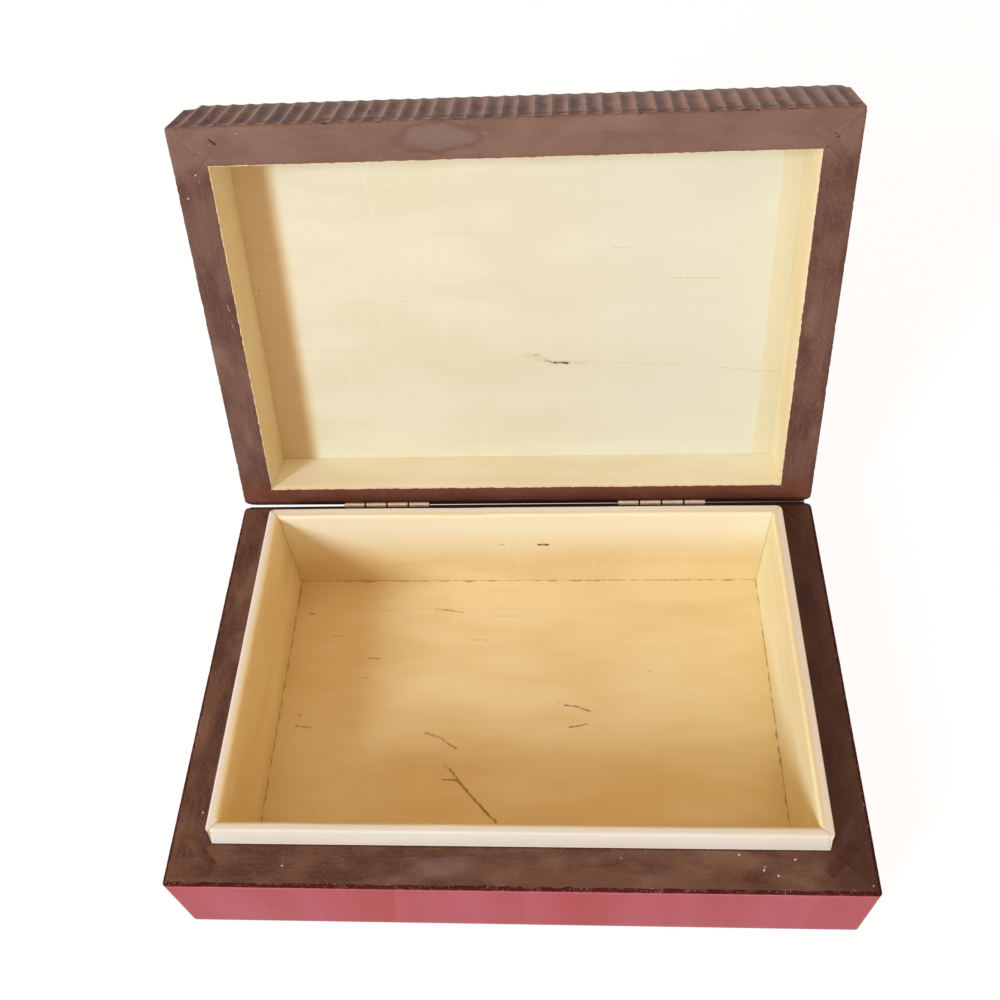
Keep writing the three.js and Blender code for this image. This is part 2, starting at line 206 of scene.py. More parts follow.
def moved(points, matrix):
    """Points turned and moved by a matrix in millimetres."""
    return [tuple(matrix @ Vector(point)) for point in points]


BOX_FACES = [(0, 1, 3, 2), (4, 6, 7, 5), (0, 4, 5, 1), (2, 3, 7, 6), (0, 2, 6, 4), (1, 5, 7, 3)]


def box_points(low, high):
    """The eight corners of a box."""
    return [(x, y, z) for x in (low[0], high[0]) for y in (low[1], high[1]) for z in (low[2], high[2])]


def boxed(name, low, high, place=None):
    """A box between two corners, laid where a matrix says."""
    points = box_points(low, high)
    return object_of(name, points if place is None else moved(points, place), BOX_FACES)


def ring_faces(rings, count):
    """The faces that close a stack of rings of points into one body."""
    faces = []
    for ring in range(rings - 1):
        for i in range(count):
            a = ring * count + i
            b = ring * count + (i + 1) % count
            faces.append((a, b, b + count, a + count))
    last = (rings - 1) * count
    faces.append(tuple(range(count))[::-1])
    faces.append(tuple(range(last, last + count)))
    return faces


def rod(radii, ends, sides):
    """Points and faces of a turned rod along X, with its radius at each of several places."""
    points = []
    for x, radius in zip(ends, radii):
        for i in range(sides):
            angle = 2 * math.pi * i / sides
            points.append((x, radius * math.cos(angle), radius * math.sin(angle)))
    return points, ring_faces(len(ends), sides)


def eased_rod(radius, start, end, ease, sides):
    """A turned rod with both its ends eased."""
    radii = (radius - ease, radius, radius, radius - ease)
    return rod(radii, (start, start + ease, end - ease, end), sides)


def applied(target):
    """Makes what an object's modifiers do part of its mesh."""
    graph = bpy.context.evaluated_depsgraph_get()
    result = bpy.data.meshes.new_from_object(target.evaluated_get(graph))
    target.modifiers.clear()
    result.materials.clear()
    target.data = result
    return target


def shaped(target, tools, operation="DIFFERENCE"):
    """Cuts tool objects from a target, or joins them to it, and removes the tools."""
    for tool in tools:
        step = target.modifiers.new("cut", "BOOLEAN")
        step.operation = operation
        step.solver = "MANIFOLD"
        step.object = tool
    applied(target)
    for tool in tools:
        bpy.data.objects.remove(tool)
    return target


def rounded_edges(target, width):
    """Rounds every sharp edge of a small piece."""
    step = target.modifiers.new("round", "BEVEL")
    step.width = width * MM
    step.segments = 2
    step.limit_method = "ANGLE"
    return applied(target)


def vertex_points(target):
    """The vertices of an object, in millimetres."""
    flat = np.zeros(len(target.data.vertices) * 3)
    target.data.vertices.foreach_get("co", flat)
    return flat.reshape(-1, 3) / MM


def keep(target, name, values):
    """Keeps a number or a vector for each vertex, for the materials to read."""
    values = np.asarray(values, np.float32)
    kind, field = ("FLOAT_VECTOR", "vector") if values.ndim == 2 else ("FLOAT", "value")
    target.data.attributes.new(name, kind, "POINT").data.foreach_set(field, values.ravel())


def dress(target, materials, places, seed, degrees=30):
    """Gives a piece its materials, the places and the shifted grain they read, and smooth shading."""
    for material in materials:
        target.data.materials.append(material)
    keep(target, "place", places)
    keep(target, "grain", places + np.random.default_rng(seed).uniform(-400, 400, 3))
    keep(target, "spot", vertex_points(target))
    target.data.shade_smooth()
    target.data.set_sharp_from_angle(angle=math.radians(degrees))


def placed(target, matrix):
    """Turns and moves a mesh by a matrix in millimetres."""
    target.data.transform(Matrix.Scale(MM, 4) @ matrix @ Matrix.Scale(1 / MM, 4))


def fitted(target, body, slot, *nodes):
    """Opens a piece of the lid, and says what the piece rides on and stands for."""
    if body == "lid":
        turn = Matrix.Translation((0, AXIS_Y, AXIS_Z)) @ Matrix.Rotation(-LID_OPEN, 4, "X")
        placed(target, turn @ Matrix.Translation((0, -AXIS_Y, SEAM_GAP / 2)))
    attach(target, body)
    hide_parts(*nodes)
    return target


# Mitred walls


LENGTHWISE = ("front", "back")
OUTWARD = {"front": -1, "back": 1, "left": -1, "right": 1}


def wall_point(side, half_x, half_y, along, inward, height):
    """A wall's place as a point of the box."""
    if side in LENGTHWISE:
        return along, OUTWARD[side] * (half_y - inward), height
    return OUTWARD[side] * (half_x - inward), along, height


def wall_places(side, half_x, half_y, points):
    """Points of the box as a wall's places."""
    x, y, z = points.T
    if side in LENGTHWISE:
        return np.stack([x, half_y - OUTWARD[side] * y, z], 1)
    return np.stack([y, half_x - OUTWARD[side] * x, z], 1)


def round_corner(x, y, half_x, half_y, front_radius, rear_radius):
    """Pulls a point in a corner's square onto the same ring of the corner's round."""
    radius = front_radius if y < 0 else rear_radius
    out_x = abs(x) - half_x + radius
    out_y = abs(y) - half_y + radius
    if out_x <= 0 or out_y <= 0:
        return x, y
    share = max(out_x, out_y) / math.hypot(out_x, out_y)
    new_x = half_x - radius + out_x * share
    new_y = half_y - radius + out_y * share
    return math.copysign(new_x, x), math.copysign(new_y, y)


# Distances from a wall's end where it also gets a row of points, to round its corner
NEAR_END = np.array([0.2, 0.5, 0.9, 1.4, 2, 2.6, 3.2])


def along_steps(half_length, step):
    """Places along a wall as shares of its half length, closer together near the ends."""
    count = math.ceil(2 * half_length / step)
    even = np.linspace(-1, 1, count + 1)
    near = 1 - NEAR_END / half_length
    return np.unique(np.concatenate([even, near, -near]))


def mitred_wall(name, side, sizes, profile, shares, shape, rounding=lambda height: 1):
    """One wall of a mitred frame: a profile of (inward, up) run along its side, then shaped
    point by point."""
    half_x, half_y, front_thickness, end_thickness, gap, front_radius, rear_radius = sizes
    lengthwise = side in LENGTHWISE
    half_length = half_x if lengthwise else half_y
    ratio = end_thickness / front_thickness if lengthwise else front_thickness / end_thickness
    points = []
    for inward, height in profile:
        reach = half_length - inward * ratio - gap * math.sqrt(0.5)
        for share in shares:
            along = share * reach
            place = shape(along, inward, height)
            x, y, z = wall_point(side, half_x, half_y, along, *place)
            radii = (rounding(z) * front_radius, rounding(z) * rear_radius)
            points.append((*round_corner(x, y, half_x, half_y, *radii), z))
    count = len(shares)
    rows = len(profile)
    faces = []
    for row in range(rows):
        after = (row + 1) % rows
        for i in range(count - 1):
            faces.append((row * count + i, row * count + i + 1, after * count + i + 1, after * count + i))
    faces.append(tuple(row * count for row in range(rows)))
    faces.append(tuple(row * count + count - 1 for row in range(rows))[::-1])
    return object_of(name, points, faces)


def spline_place(corner, front_thickness, end_thickness):
    """The matrix that lays a tongue square across its mitre."""
    share = SPLINE_INSET / WALL
    x = corner[0] * (HALF_WIDTH - share * end_thickness)
    y = corner[1] * (HALF_DEPTH - share * front_thickness)
    turn = Matrix.Rotation(-corner[0] * corner[1] * math.pi / 4, 4, "Z")
    return Matrix.Translation((x, y, 0)) @ turn


def spline_slots(side, front_thickness, end_thickness, bottom, top):
    """The slots for the two tongues at a wall's ends."""
    half_length = SPLINE_LENGTH / 2 + SPLINE_CLEARANCE
    half_thickness = SPLINE_THICKNESS / 2 + SPLINE_CLEARANCE
    low = (-half_length, -half_thickness, bottom)
    high = (half_length, half_thickness, top)
    places = [spline_place(CORNERS[name], front_thickness, end_thickness) for name in CORNERS if side in name]
    return [boxed("slot", low, high, place) for place in places]


def leaf_place(hinge_x, is_lid):
    """Where a leaf lies: Y runs down the bevel away from the axis, and Z out of the bevel's face."""
    turn = Matrix.Rotation(BEVEL_ANGLE if is_lid else -BEVEL_ANGLE, 4, "X")
    if is_lid:
        turn = turn @ Matrix.Rotation(math.pi, 4, "Y")
    return Matrix.Translation((hinge_x, AXIS_Y, -SEAM_GAP / 2 if is_lid else AXIS_Z)) @ turn


def bevel_tool(is_lid, start, end, depths):
    """What the bevel along the back takes off between two places, at its start's and its end's depth."""
    low = (start, -BARREL_RADIUS - BARREL_CLEARANCE, 0)
    high = (end, BEVEL_RUN / math.cos(BEVEL_ANGLE) + PAST, BEVEL_RUN + PAST)
    points = [(x, y, z or -depths[0 if x == start else 1]) for x, y, z in box_points(low, high)]
    if is_lid:
        points = [(-x, y, z) for x, y, z in points]
    return object_of("bevel", moved(points, leaf_place(0, is_lid)), BOX_FACES)


def bevel_tools(is_lid):
    """The bevel, left fuller to the right of the left hinge, and the hinges' beds in it."""
    end = HALF_WIDTH + PAST
    fuller = HINGES["left"] - HALF_HINGE
    full = HINGES["left"] + HALF_HINGE
    tools = [bevel_tool(is_lid, -end, fuller, LEFT_BEVEL)]
    tools.append(bevel_tool(is_lid, fuller - PAST, full, (LEFT_BEVEL[1], FULL_BEVEL[0])))
    tools.append(bevel_tool(is_lid, full - PAST, end, FULL_BEVEL))
    bed = HALF_HINGE + BED_CLEARANCE
    low = (-bed, -BARREL_RADIUS - BARREL_CLEARANCE, -BEVEL_OFFSET)
    high = (bed, LEAF_WIDTH + BED_CLEARANCE, BEVEL_RUN)
    return tools + [boxed("bed", low, high, leaf_place(x, is_lid)) for x in HINGES.values()]


def barrel_tools(is_lid):
    """The rounds for the two barrels."""
    half = HALF_HINGE + BARREL_CLEARANCE
    radius = BARREL_RADIUS + BARREL_CLEARANCE
    points, faces = rod((radius, radius), (-half, half), 40)
    return [object_of("round", moved(points, leaf_place(x, is_lid)), faces) for x in HINGES.values()]


def bevel_end_tools(is_lid):
    """What rounds the edges between the bevel and the end faces, as far as the corners below them."""
    rim = 0 if is_lid else BASE_HEIGHT
    up = 1 if is_lid else -1
    rim_back = HALF_DEPTH - BEVEL_RUN
    centre_x = HALF_WIDTH - REAR_RADIUS
    centre_y = rim_back - REAR_RADIUS
    outline = [(HALF_WIDTH + PAST, centre_y), *arc(centre_x, centre_y, REAR_RADIUS, 0, 6)]
    outline += [(centre_x, rim_back + PAST), (HALF_WIDTH + PAST, rim_back + PAST)]
    lean = up * BEVEL_RUN / BEVEL_DROP
    tools = []
    for sign in (1, -1):
        points = []
        for z in (rim - up * PAST, rim + up * BEVEL_DROP):
            points += [(sign * x, y + lean * (z - rim), z) for x, y in outline]
        tools.append(object_of("end", points, ring_faces(2, len(outline))))
    return tools


def hinge_tools(is_lid):
    """All that is cut from the back of a half for its bevel and hinges."""
    return [*bevel_tools(is_lid), *barrel_tools(is_lid), *bevel_end_tools(is_lid)]


def dress_wall(target, side, sizes, rule, materials, seed, degrees=30):
    """Dresses a wall, each face in the material that the rule picks from its middle and its direction."""
    half_x, half_y = sizes[:2]
    places = wall_places(side, half_x, half_y, vertex_points(target))
    dress(target, materials, places, seed, degrees)
    for polygon in target.data.polygons:
        middle = np.array([polygon.center]) / MM
        ahead = middle + np.array([polygon.normal])
        place = wall_places(side, half_x, half_y, middle)[0]
        direction = wall_places(side, half_x, half_y, ahead)[0] - place
        polygon.material_index = rule(place, direction)
    return places


# Base


BASE_SIZES = (HALF_WIDTH, HALF_DEPTH, WALL, WALL, MITRE_GAP, FRONT_RADIUS, REAR_RADIUS)
BASE_OUTER, BASE_RIM, BASE_INNER = range(3)
ARRIS_ZONE = 1.2


def base_profile():
    """A base wall's outline, from its underside up the outer face and over the rim."""
    rows = arc(BOTTOM_ARRIS, BOTTOM_ARRIS, BOTTOM_ARRIS, 180, 5)[::-1]
    outer_top = (0, BASE_HEIGHT - ARRIS_ZONE)
    rows += spread((0, BOTTOM_ARRIS), outer_top, 12) + [outer_top]
    rows += [(0, BASE_HEIGHT - 0.75), (0.08, BASE_HEIGHT - 0.35), (0.35, BASE_HEIGHT - 0.08)]
    rows += [(0.75, BASE_HEIGHT), (ARRIS_ZONE, BASE_HEIGHT)]
    rows += spread((ARRIS_ZONE, BASE_HEIGHT), (WALL, BASE_HEIGHT), 8) + [(WALL, BASE_HEIGHT)]
    rows += [(WALL, FLOOR), (WALL - REBATE, FLOOR), (WALL - REBATE, 0)]
    return rows


def base_shape(seed):
    """Wears the upper arris of a base wall, and lets its outer face run a little uneven."""

    def shape(along, inward, height):
        if height > BASE_HEIGHT - 1 and inward < 1:
            near = max(0, 1 - abs(inward + height - BASE_HEIGHT) / 0.9)
            worn = 0.45 * chips(along, seed) * near
            return inward + worn, height - worn
        if inward == 0 and height > BOTTOM_ARRIS:
            return 0.05 + 0.05 * wander(along + 3 * height, 30, seed + 9), height
        return inward, height

    return shape


def base_rule(place, direction):
    """Lacquer on the outer face, stain on the rim, the bevel and the joint faces, and bare
    wood on the rest."""
    _, inward, height = place
    if direction[2] > 0.3 and height > BASE_HEIGHT - BEVEL_DROP - PAST:
        return BASE_RIM
    if direction[1] < -0.25 and inward < 3:
        return BASE_OUTER
    if abs(direction[0]) > 0.5 and height > FLOOR + PAST:
        return BASE_RIM
    return BASE_INNER


def make_base_wall(side, seed, materials):
    """One wall of the base."""
    steps = along_steps(HALF_WIDTH if side in LENGTHWISE else HALF_DEPTH, 0.9)
    name = "base_" + side + "_wall"
    made = mitred_wall("dressed_" + name, side, BASE_SIZES, base_profile(), steps, base_shape(seed))
    tools = spline_slots(side, WALL, WALL, FLOOR, BASE_HEIGHT + PAST)
    if side != "front":
        tools += hinge_tools(False)
    shaped(made, tools)
    dress_wall(made, side, BASE_SIZES, base_rule, materials, seed)
    return fitted(made, "base", "red_lacquer", name)


def make_spline(body, name, bottom, top, thicknesses, seed, material):
    """A tongue across a mitre, its edges eased, planed off with the bevel where it reaches
    that far back."""
    low = (-SPLINE_LENGTH / 2, -SPLINE_THICKNESS / 2, bottom)
    high = (SPLINE_LENGTH / 2, SPLINE_THICKNESS / 2, top)
    node = body + "_spline_" + name
    made = rounded_edges(boxed("dressed_" + node, low, high), 0.02)
    place = spline_place(CORNERS[name], *thicknesses)
    placed(made, place)
    if CORNERS[name][1] > 0:
        shaped(made, [*bevel_tools(body == "lid"), *bevel_end_tools(body == "lid")])
    dress(made, [material], np.array(moved(vertex_points(made), place.inverted())), seed)
    return fitted(made, body, "dark_stain", node)


def make_panel(body, node, end_wall, front_wall, heights, edge, seed, materials):
    """A thin panel with eased edges in the rebate of a half, its underside of the first material."""
    half_x = HALF_WIDTH - end_wall + REBATE - PANEL_CLEARANCE
    half_y = HALF_DEPTH - front_wall + REBATE - PANEL_CLEARANCE
    bottom, top = heights
    made = boxed("dressed_" + node, (-half_x, -half_y, bottom), (half_x, half_y, top))
    rounded_edges(made, edge)
    dress(made, materials, vertex_points(made), seed)
    for polygon in made.data.polygons:
        polygon.material_index = len(materials) - 1 if polygon.normal.z > -0.5 else 0
    return fitted(made, body, "bare_wood", node)


# Liner


LINER_X = HALF_WIDTH - WALL - LINER_CLEARANCE
LINER_Y = HALF_DEPTH - WALL - LINER_CLEARANCE
LINER_SIZES = (LINER_X, LINER_Y, LINER, LINER, LINER_MITRE_GAP, LINER_RADIUS, LINER_RADIUS)
LINER_OUTER, LINER_INNER = range(2)


def liner_profile(taper):
    """A liner strip's outline, from the foot of its outer face round to its inner foot."""
    low = (0, BASE_HEIGHT)
    high = (taper, LIP_TOP - LIP_OUTER_ARRIS)
    rows = [(0, FLOOR), low] + spread(low, high, 6) + [high]
    rows += [(taper + 0.15, LIP_TOP - 0.15), (taper + LIP_OUTER_ARRIS, LIP_TOP)]
    centre = LINER - LIP_INNER_RADIUS
    rows += spread((taper + LIP_OUTER_ARRIS, LIP_TOP), (centre, LIP_TOP), 2)
    rows += arc(centre, LIP_TOP - LIP_INNER_RADIUS, LIP_INNER_RADIUS, 0, 7)[::-1]
    rows += spread((LINER, LIP_TOP - LIP_INNER_RADIUS), (LINER, FLOOR), 12) + [(LINER, FLOOR)]
    return rows


def liner_shape(seed):
    """Lets the lip run a little uneven, as a strip rounded by hand does."""

    def shape(along, inward, height):
        if height <= BASE_HEIGHT:
            return inward, height
        share = (height - BASE_HEIGHT) / (LIP_TOP - BASE_HEIGHT)
        sink = share * (0.1 + 0.1 * wander(along, 25, seed))
        lean = 0.06 * share * wander(along, 18, seed + 1)
        if inward < LIP_OUTER_ARRIS:
            return inward + max(0, lean), height - sink
        return inward + (lean if inward > 2 else 0), height - sink

    return shape


def lip_rounding(height):
    """The lip's corners are sharp at the rim and rounded at the top."""
    return 0.15 + 0.85 * float(smooth_step((height - BASE_HEIGHT) / 7))


def liner_rule(place, direction):
    """The planed outside and top of the lip, and the inside."""
    return LINER_OUTER if direction[1] < -0.5 or direction[2] > 0.85 else LINER_INNER


def make_liner(side, seed, materials):
    """One strip of the liner, standing on the floor panel."""
    taper = LIP_FRONT_TAPER if side == "front" else 0
    steps = along_steps(LINER_X if side in LENGTHWISE else LINER_Y, 1.2)
    node = "liner_" + side
    profile = liner_profile(taper)
    made = mitred_wall("dressed_" + node, side, LINER_SIZES, profile, steps, liner_shape(seed), lip_rounding)
    dress_wall(made, side, LINER_SIZES, liner_rule, materials, seed, 40)
    return fitted(made, "base", "bare_wood", node)


# Lid


LID_THICKNESSES = (LID_FRONT_WALL, LID_END_WALL)
LID_SIZES = (HALF_WIDTH, HALF_DEPTH, *LID_THICKNESSES, MITRE_GAP, FRONT_RADIUS, REAR_RADIUS)
LID_OUTER, LID_RIM, LID_INNER = range(3)
FLUTE_SHARES = (0, 0.05, 0.13, 0.23, 0.34, 0.45, 0.55, 0.66, 0.77, 0.87, 0.95)
CORNER_EASE = {-1: (7, 4, 6), 1: (3.5, 3, 4.5)}


def lid_profile(thickness):
    """A lid wall's outline, from the rim's outer arris up the outer face, over the top and down inside."""
    rows = [(0.8, 0), (0.4, 0.12), (0.12, 0.4), (0, 0.85), (0, 2)]
    rows += [(0, FLUTE_FOOT - 1.4 + 0.35 * i) for i in range(9)]
    rows += spread((0, FLUTE_FOOT + 1.4), (0, LID_HEIGHT - LID_TOP_RADIUS), 9)
    rows += arc(LID_TOP_RADIUS, LID_HEIGHT - LID_TOP_RADIUS, LID_TOP_RADIUS, 90, 8)[::-1]
    ledge = thickness - REBATE
    rows += [(5, LID_HEIGHT), (ledge - 0.2, LID_HEIGHT), (ledge, LID_HEIGHT - 0.2)]
    rows += [(ledge, LID_LEDGE), (thickness, LID_LEDGE)]
    rows += spread((thickness, LID_LEDGE), (thickness, 0.5), 8)
    rows += [(thickness, 0.5), (thickness - 0.15, 0.12), (thickness - 0.5, 0)]
    rows += spread((thickness - 0.5, 0), (0.8, 0), 8)
    return rows


def flute_edges(face_width, seed):
    """The ridges between the flutes of a face, as cut by hand: never quite evenly spaced."""
    count = round(face_width / FLUTE_PITCH)
    edges = np.linspace(-face_width / 2, face_width / 2, count + 1)
    edges[1:-1] += np.random.default_rng(seed).uniform(-0.38, 0.38, count - 1)
    return edges


def flute_across(edges, along):
    """Which flute a place is in, and how far across it, from -1 to 1."""
    index = np.clip(np.searchsorted(edges, along, side="right") - 1, 0, len(edges) - 2)
    start = edges[index]
    end = edges[index + 1]
    return index, (along - (start + end) / 2) / ((end - start) / 2)


def flute_cut(edges, along, height, seed):
    """How deep the gouge went at a place on the face."""
    index, across = flute_across(edges, along)
    chance = np.random.default_rng(seed).uniform(-1, 1, (len(edges), 3))
    depth = FLUTE_DEPTH * (1 + 0.14 * chance[index, 0])
    foot = FLUTE_FOOT + 0.45 * chance[index, 1] + 0.5 * across * chance[index, 2]
    entry = smooth_step((height - foot + 0.25) / 0.6)
    dip = 1 + 0.12 * np.sin(height / 3.1 + 9 * chance[index, 2])
    worn = 1 - 0.45 * smooth_step((height - LID_HEIGHT + 5) / 4)
    return np.clip(depth * (1 - across * across) * entry * dip * worn, 0, 1.3)


def lid_shape(side, thickness, seed):
    """Cuts the flutes into a lid wall and wears its arrises."""
    fluted = side != "back"
    edges = flute_edges(2 * (HALF_WIDTH if side == "front" else HALF_DEPTH), seed)

    def shape(along, inward, height):
        if height < 1 and inward < 1:
            near = max(0, 1 - abs(inward + height - 0.5) / 0.9)
            worn = 0.35 * chips(along, seed) * near
            return inward + worn, height + worn
        if height < 0.6 and inward > thickness - 0.7:
            nicked = 0.16 * chips(along, seed + 5)
            return inward - nicked * 0.5, height + nicked * 0.35
        if fluted and height > 2 and inward < 3.1:
            return max(inward, float(flute_cut(edges, along, height, seed))), height
        return inward, height

    return shape


def ease_top_corners(target):
    """Rounds the lid's four top corners further than the edges that meet there."""
    ends = Vector((HALF_WIDTH, HALF_DEPTH, LID_HEIGHT))
    for vertex in target.data.vertices:
        point = vertex.co / MM
        ease = CORNER_EASE[-1 if point.x < 0 else 1]
        outward = Vector((abs(point.x), abs(point.y), point.z)) - ends
        near = Vector([1 + gap / reach for gap, reach in zip(outward, ease)])
        if min(near) <= 0:
            continue
        limit = math.sqrt(2) - 0.3 * float(smooth_step(2 * min(near)))
        if near.length > limit:
            near *= limit / near.length
            x, y, z = ends + Vector([(share - 1) * reach for share, reach in zip(near, ease)])
            vertex.co = Vector((math.copysign(x, point.x), math.copysign(y, point.y), z)) * MM


def flute_steps(half_length, seed):
    """Places along a fluted wall, with one on each ridge."""
    edges = flute_edges(2 * half_length, seed)
    steps = [a + (b - a) * share for a, b in zip(edges, edges[1:]) for share in FLUTE_SHARES]
    near = half_length - NEAR_END
    every = np.concatenate([steps, [half_length], near, -near])
    return np.unique(np.round(every, 4)) / half_length


def lid_rule(place, direction):
    """The gouged outside, the stained rim, bevel and joint faces, and the bare inside."""
    _, inward, height = place
    if direction[2] < -0.3 and height < BEVEL_DROP + PAST:
        return LID_RIM
    if direction[1] > 0.5 and inward > LID_END_WALL - 1:
        return LID_INNER
    return LID_RIM if abs(direction[0]) > 0.8 and inward > 2 else LID_OUTER


def make_lid_wall(side, seed, materials):
    """One wall of the lid."""
    lengthwise = side in LENGTHWISE
    half = HALF_WIDTH if lengthwise else HALF_DEPTH
    thickness = LID_FRONT_WALL if lengthwise else LID_END_WALL
    steps = along_steps(half, 0.9) if side == "back" else flute_steps(half, seed)
    name = "lid_" + side + "_wall"
    shape = lid_shape(side, thickness, seed)
    made = mitred_wall("dressed_" + name, side, LID_SIZES, lid_profile(thickness), steps, shape)
    ease_top_corners(made)
    tools = spline_slots(side, *LID_THICKNESSES, -PAST, LID_LEDGE + PAST)
    if side != "front":
        tools += hinge_tools(True)
    shaped(made, tools)
    places = dress_wall(made, side, LID_SIZES, lid_rule, materials, seed)
    keep(made, "inside", thickness - places[:, 1])
    if side != "back":
        edges = flute_edges(2 * half, seed)
        keep(made, "cove", flute_cut(edges, places[:, 0], places[:, 2], seed))
        keep(made, "across", flute_across(edges, places[:, 0])[1])
    return fitted(made, "lid", "brown_stain", name)


# Hinges


def nail_shifts():
    """Where each nail of a leaf goes, on the leaf."""
    places = [(i - (NAILS - 1) / 2) * NAIL_SPACING for i in range(NAILS)]
    return [Matrix.Translation((x, LEAF_WIDTH - NAIL_INSET, -LEAF_FACE - NAIL_SUNK)) for x in places]


def nail_mesh(clearance, head_top):
    """Points and faces of a nail along Z with its head's top at z = 0, or of the hole for it."""
    head = NAIL_HEAD + clearance
    shank = NAIL_SHANK + clearance
    depths = [-NAIL_LENGTH, -NAIL_LENGTH + shank, -LEAF_THICKNESS, -0.08, 0]
    radii = [0.05, shank, shank, head, head - 0.08]
    if head_top > 0:
        depths[-2:] = [0, head_top]
        radii[-2:] = [head, head]
    points, faces = rod(radii, depths, 28)
    return [(-z, y, x) for x, y, z in points], faces


def knuckle_tools():
    """The knuckles of a leaf and the gaps between them for the other leaf's."""
    length = (HINGE_LENGTH - (KNUCKLES - 1) * KNUCKLE_GAP) / KNUCKLES
    knuckles = []
    gaps = []
    for i in range(KNUCKLES):
        start = -HALF_HINGE + i * (length + KNUCKLE_GAP)
        end = start + length
        if i % 2 == 0:
            knuckles.append(object_of("knuckle", *eased_rod(BARREL_RADIUS, start, end, KNUCKLE_EASE, 40)))
        else:
            low = (start - KNUCKLE_GAP, -PAST, -BARREL_RADIUS - PAST)
            high = (end + KNUCKLE_GAP, BARREL_RADIUS + BARREL_CLEARANCE, BARREL_RADIUS + PAST)
            gaps.append(boxed("gap", low, high))
    return knuckles, gaps


def make_leaf(node, body, place, material):
    """A hinge leaf with every other knuckle, its bore and its nail holes."""
    low = (-HALF_HINGE, 0, -LEAF_FACE - LEAF_THICKNESS)
    made = boxed("dressed_" + node, low, (HALF_HINGE, LEAF_WIDTH, -LEAF_FACE))
    knuckles, cuts = knuckle_tools()
    shaped(made, knuckles, "UNION")
    bore = PIN_RADIUS + PIN_CLEARANCE
    cuts.append(object_of("bore", *rod((bore, bore), (-HALF_HINGE - PAST, HALF_HINGE + PAST), 32)))
    points, faces = nail_mesh(0.06, PAST)
    cuts += [object_of("hole", moved(points, shift), faces) for shift in nail_shifts()]
    shaped(made, cuts)
    dress(made, [material], vertex_points(made), 71 if body == "lid" else 70, 35)
    placed(made, place)
    return fitted(made, body, "brass", node)


def make_turned(node, body, shape, place, seed, material):
    """A turned brass piece of a hinge."""
    points, faces = shape
    made = object_of("dressed_" + node, moved(points, place), faces)
    dress(made, [material], np.array(points), seed, 35)
    return fitted(made, body, "brass", node)


def make_hinge(side, brass, nail_brass):
    """A hinge: a leaf with its nails on each half, and the pin with its ends dressed round."""
    hinge = "hinge_" + side
    for body in ("base", "lid"):
        place = leaf_place(HINGES[side], body == "lid")
        make_leaf(hinge + "_" + body + "_leaf", body, place, brass)
        for i, shift in enumerate(nail_shifts()):
            node = hinge + "_" + body + "_nail_" + str(i + 1)
            make_turned(node, body, nail_mesh(0, 0), place @ shift, 80 + i, nail_brass)
    place = Matrix.Translation((HINGES[side], AXIS_Y, AXIS_Z))
    pin = eased_rod(PIN_RADIUS, -HALF_HINGE, HALF_HINGE, 0.15, 32)
    make_turned(hinge + "_pin", "base", pin, place, 90, brass)


# Materials


def colour(red, green, blue):
    """A colour of 8-bit screen values, as the shader's linear values."""
    linear = []
    for value in (red, green, blue):
        share = value / 255
        linear.append(share / 12.92 if share <= 0.04045 else ((share + 0.055) / 1.055) ** 2.4)
    return (*linear, 1)


PLANES = {"xy": (1, 1, 0), "xz": (1, 0, 1)}


class Value:
    """An output of a material's node. Arithmetic with it adds nodes."""

    def __init__(self, paint, socket):
        self.paint = paint
        self.socket = socket

    def __add__(self, other):
        return self.paint.math("ADD", self, other)

    def __sub__(self, other):
        return self.paint.math("SUBTRACT", self, other)

    def __rsub__(self, other):
        return self.paint.math("SUBTRACT", other, self)

    def __mul__(self, other):
        return self.paint.math("MULTIPLY", self, other)

    def __abs__(self):
        return self.paint.math("ABSOLUTE", self)


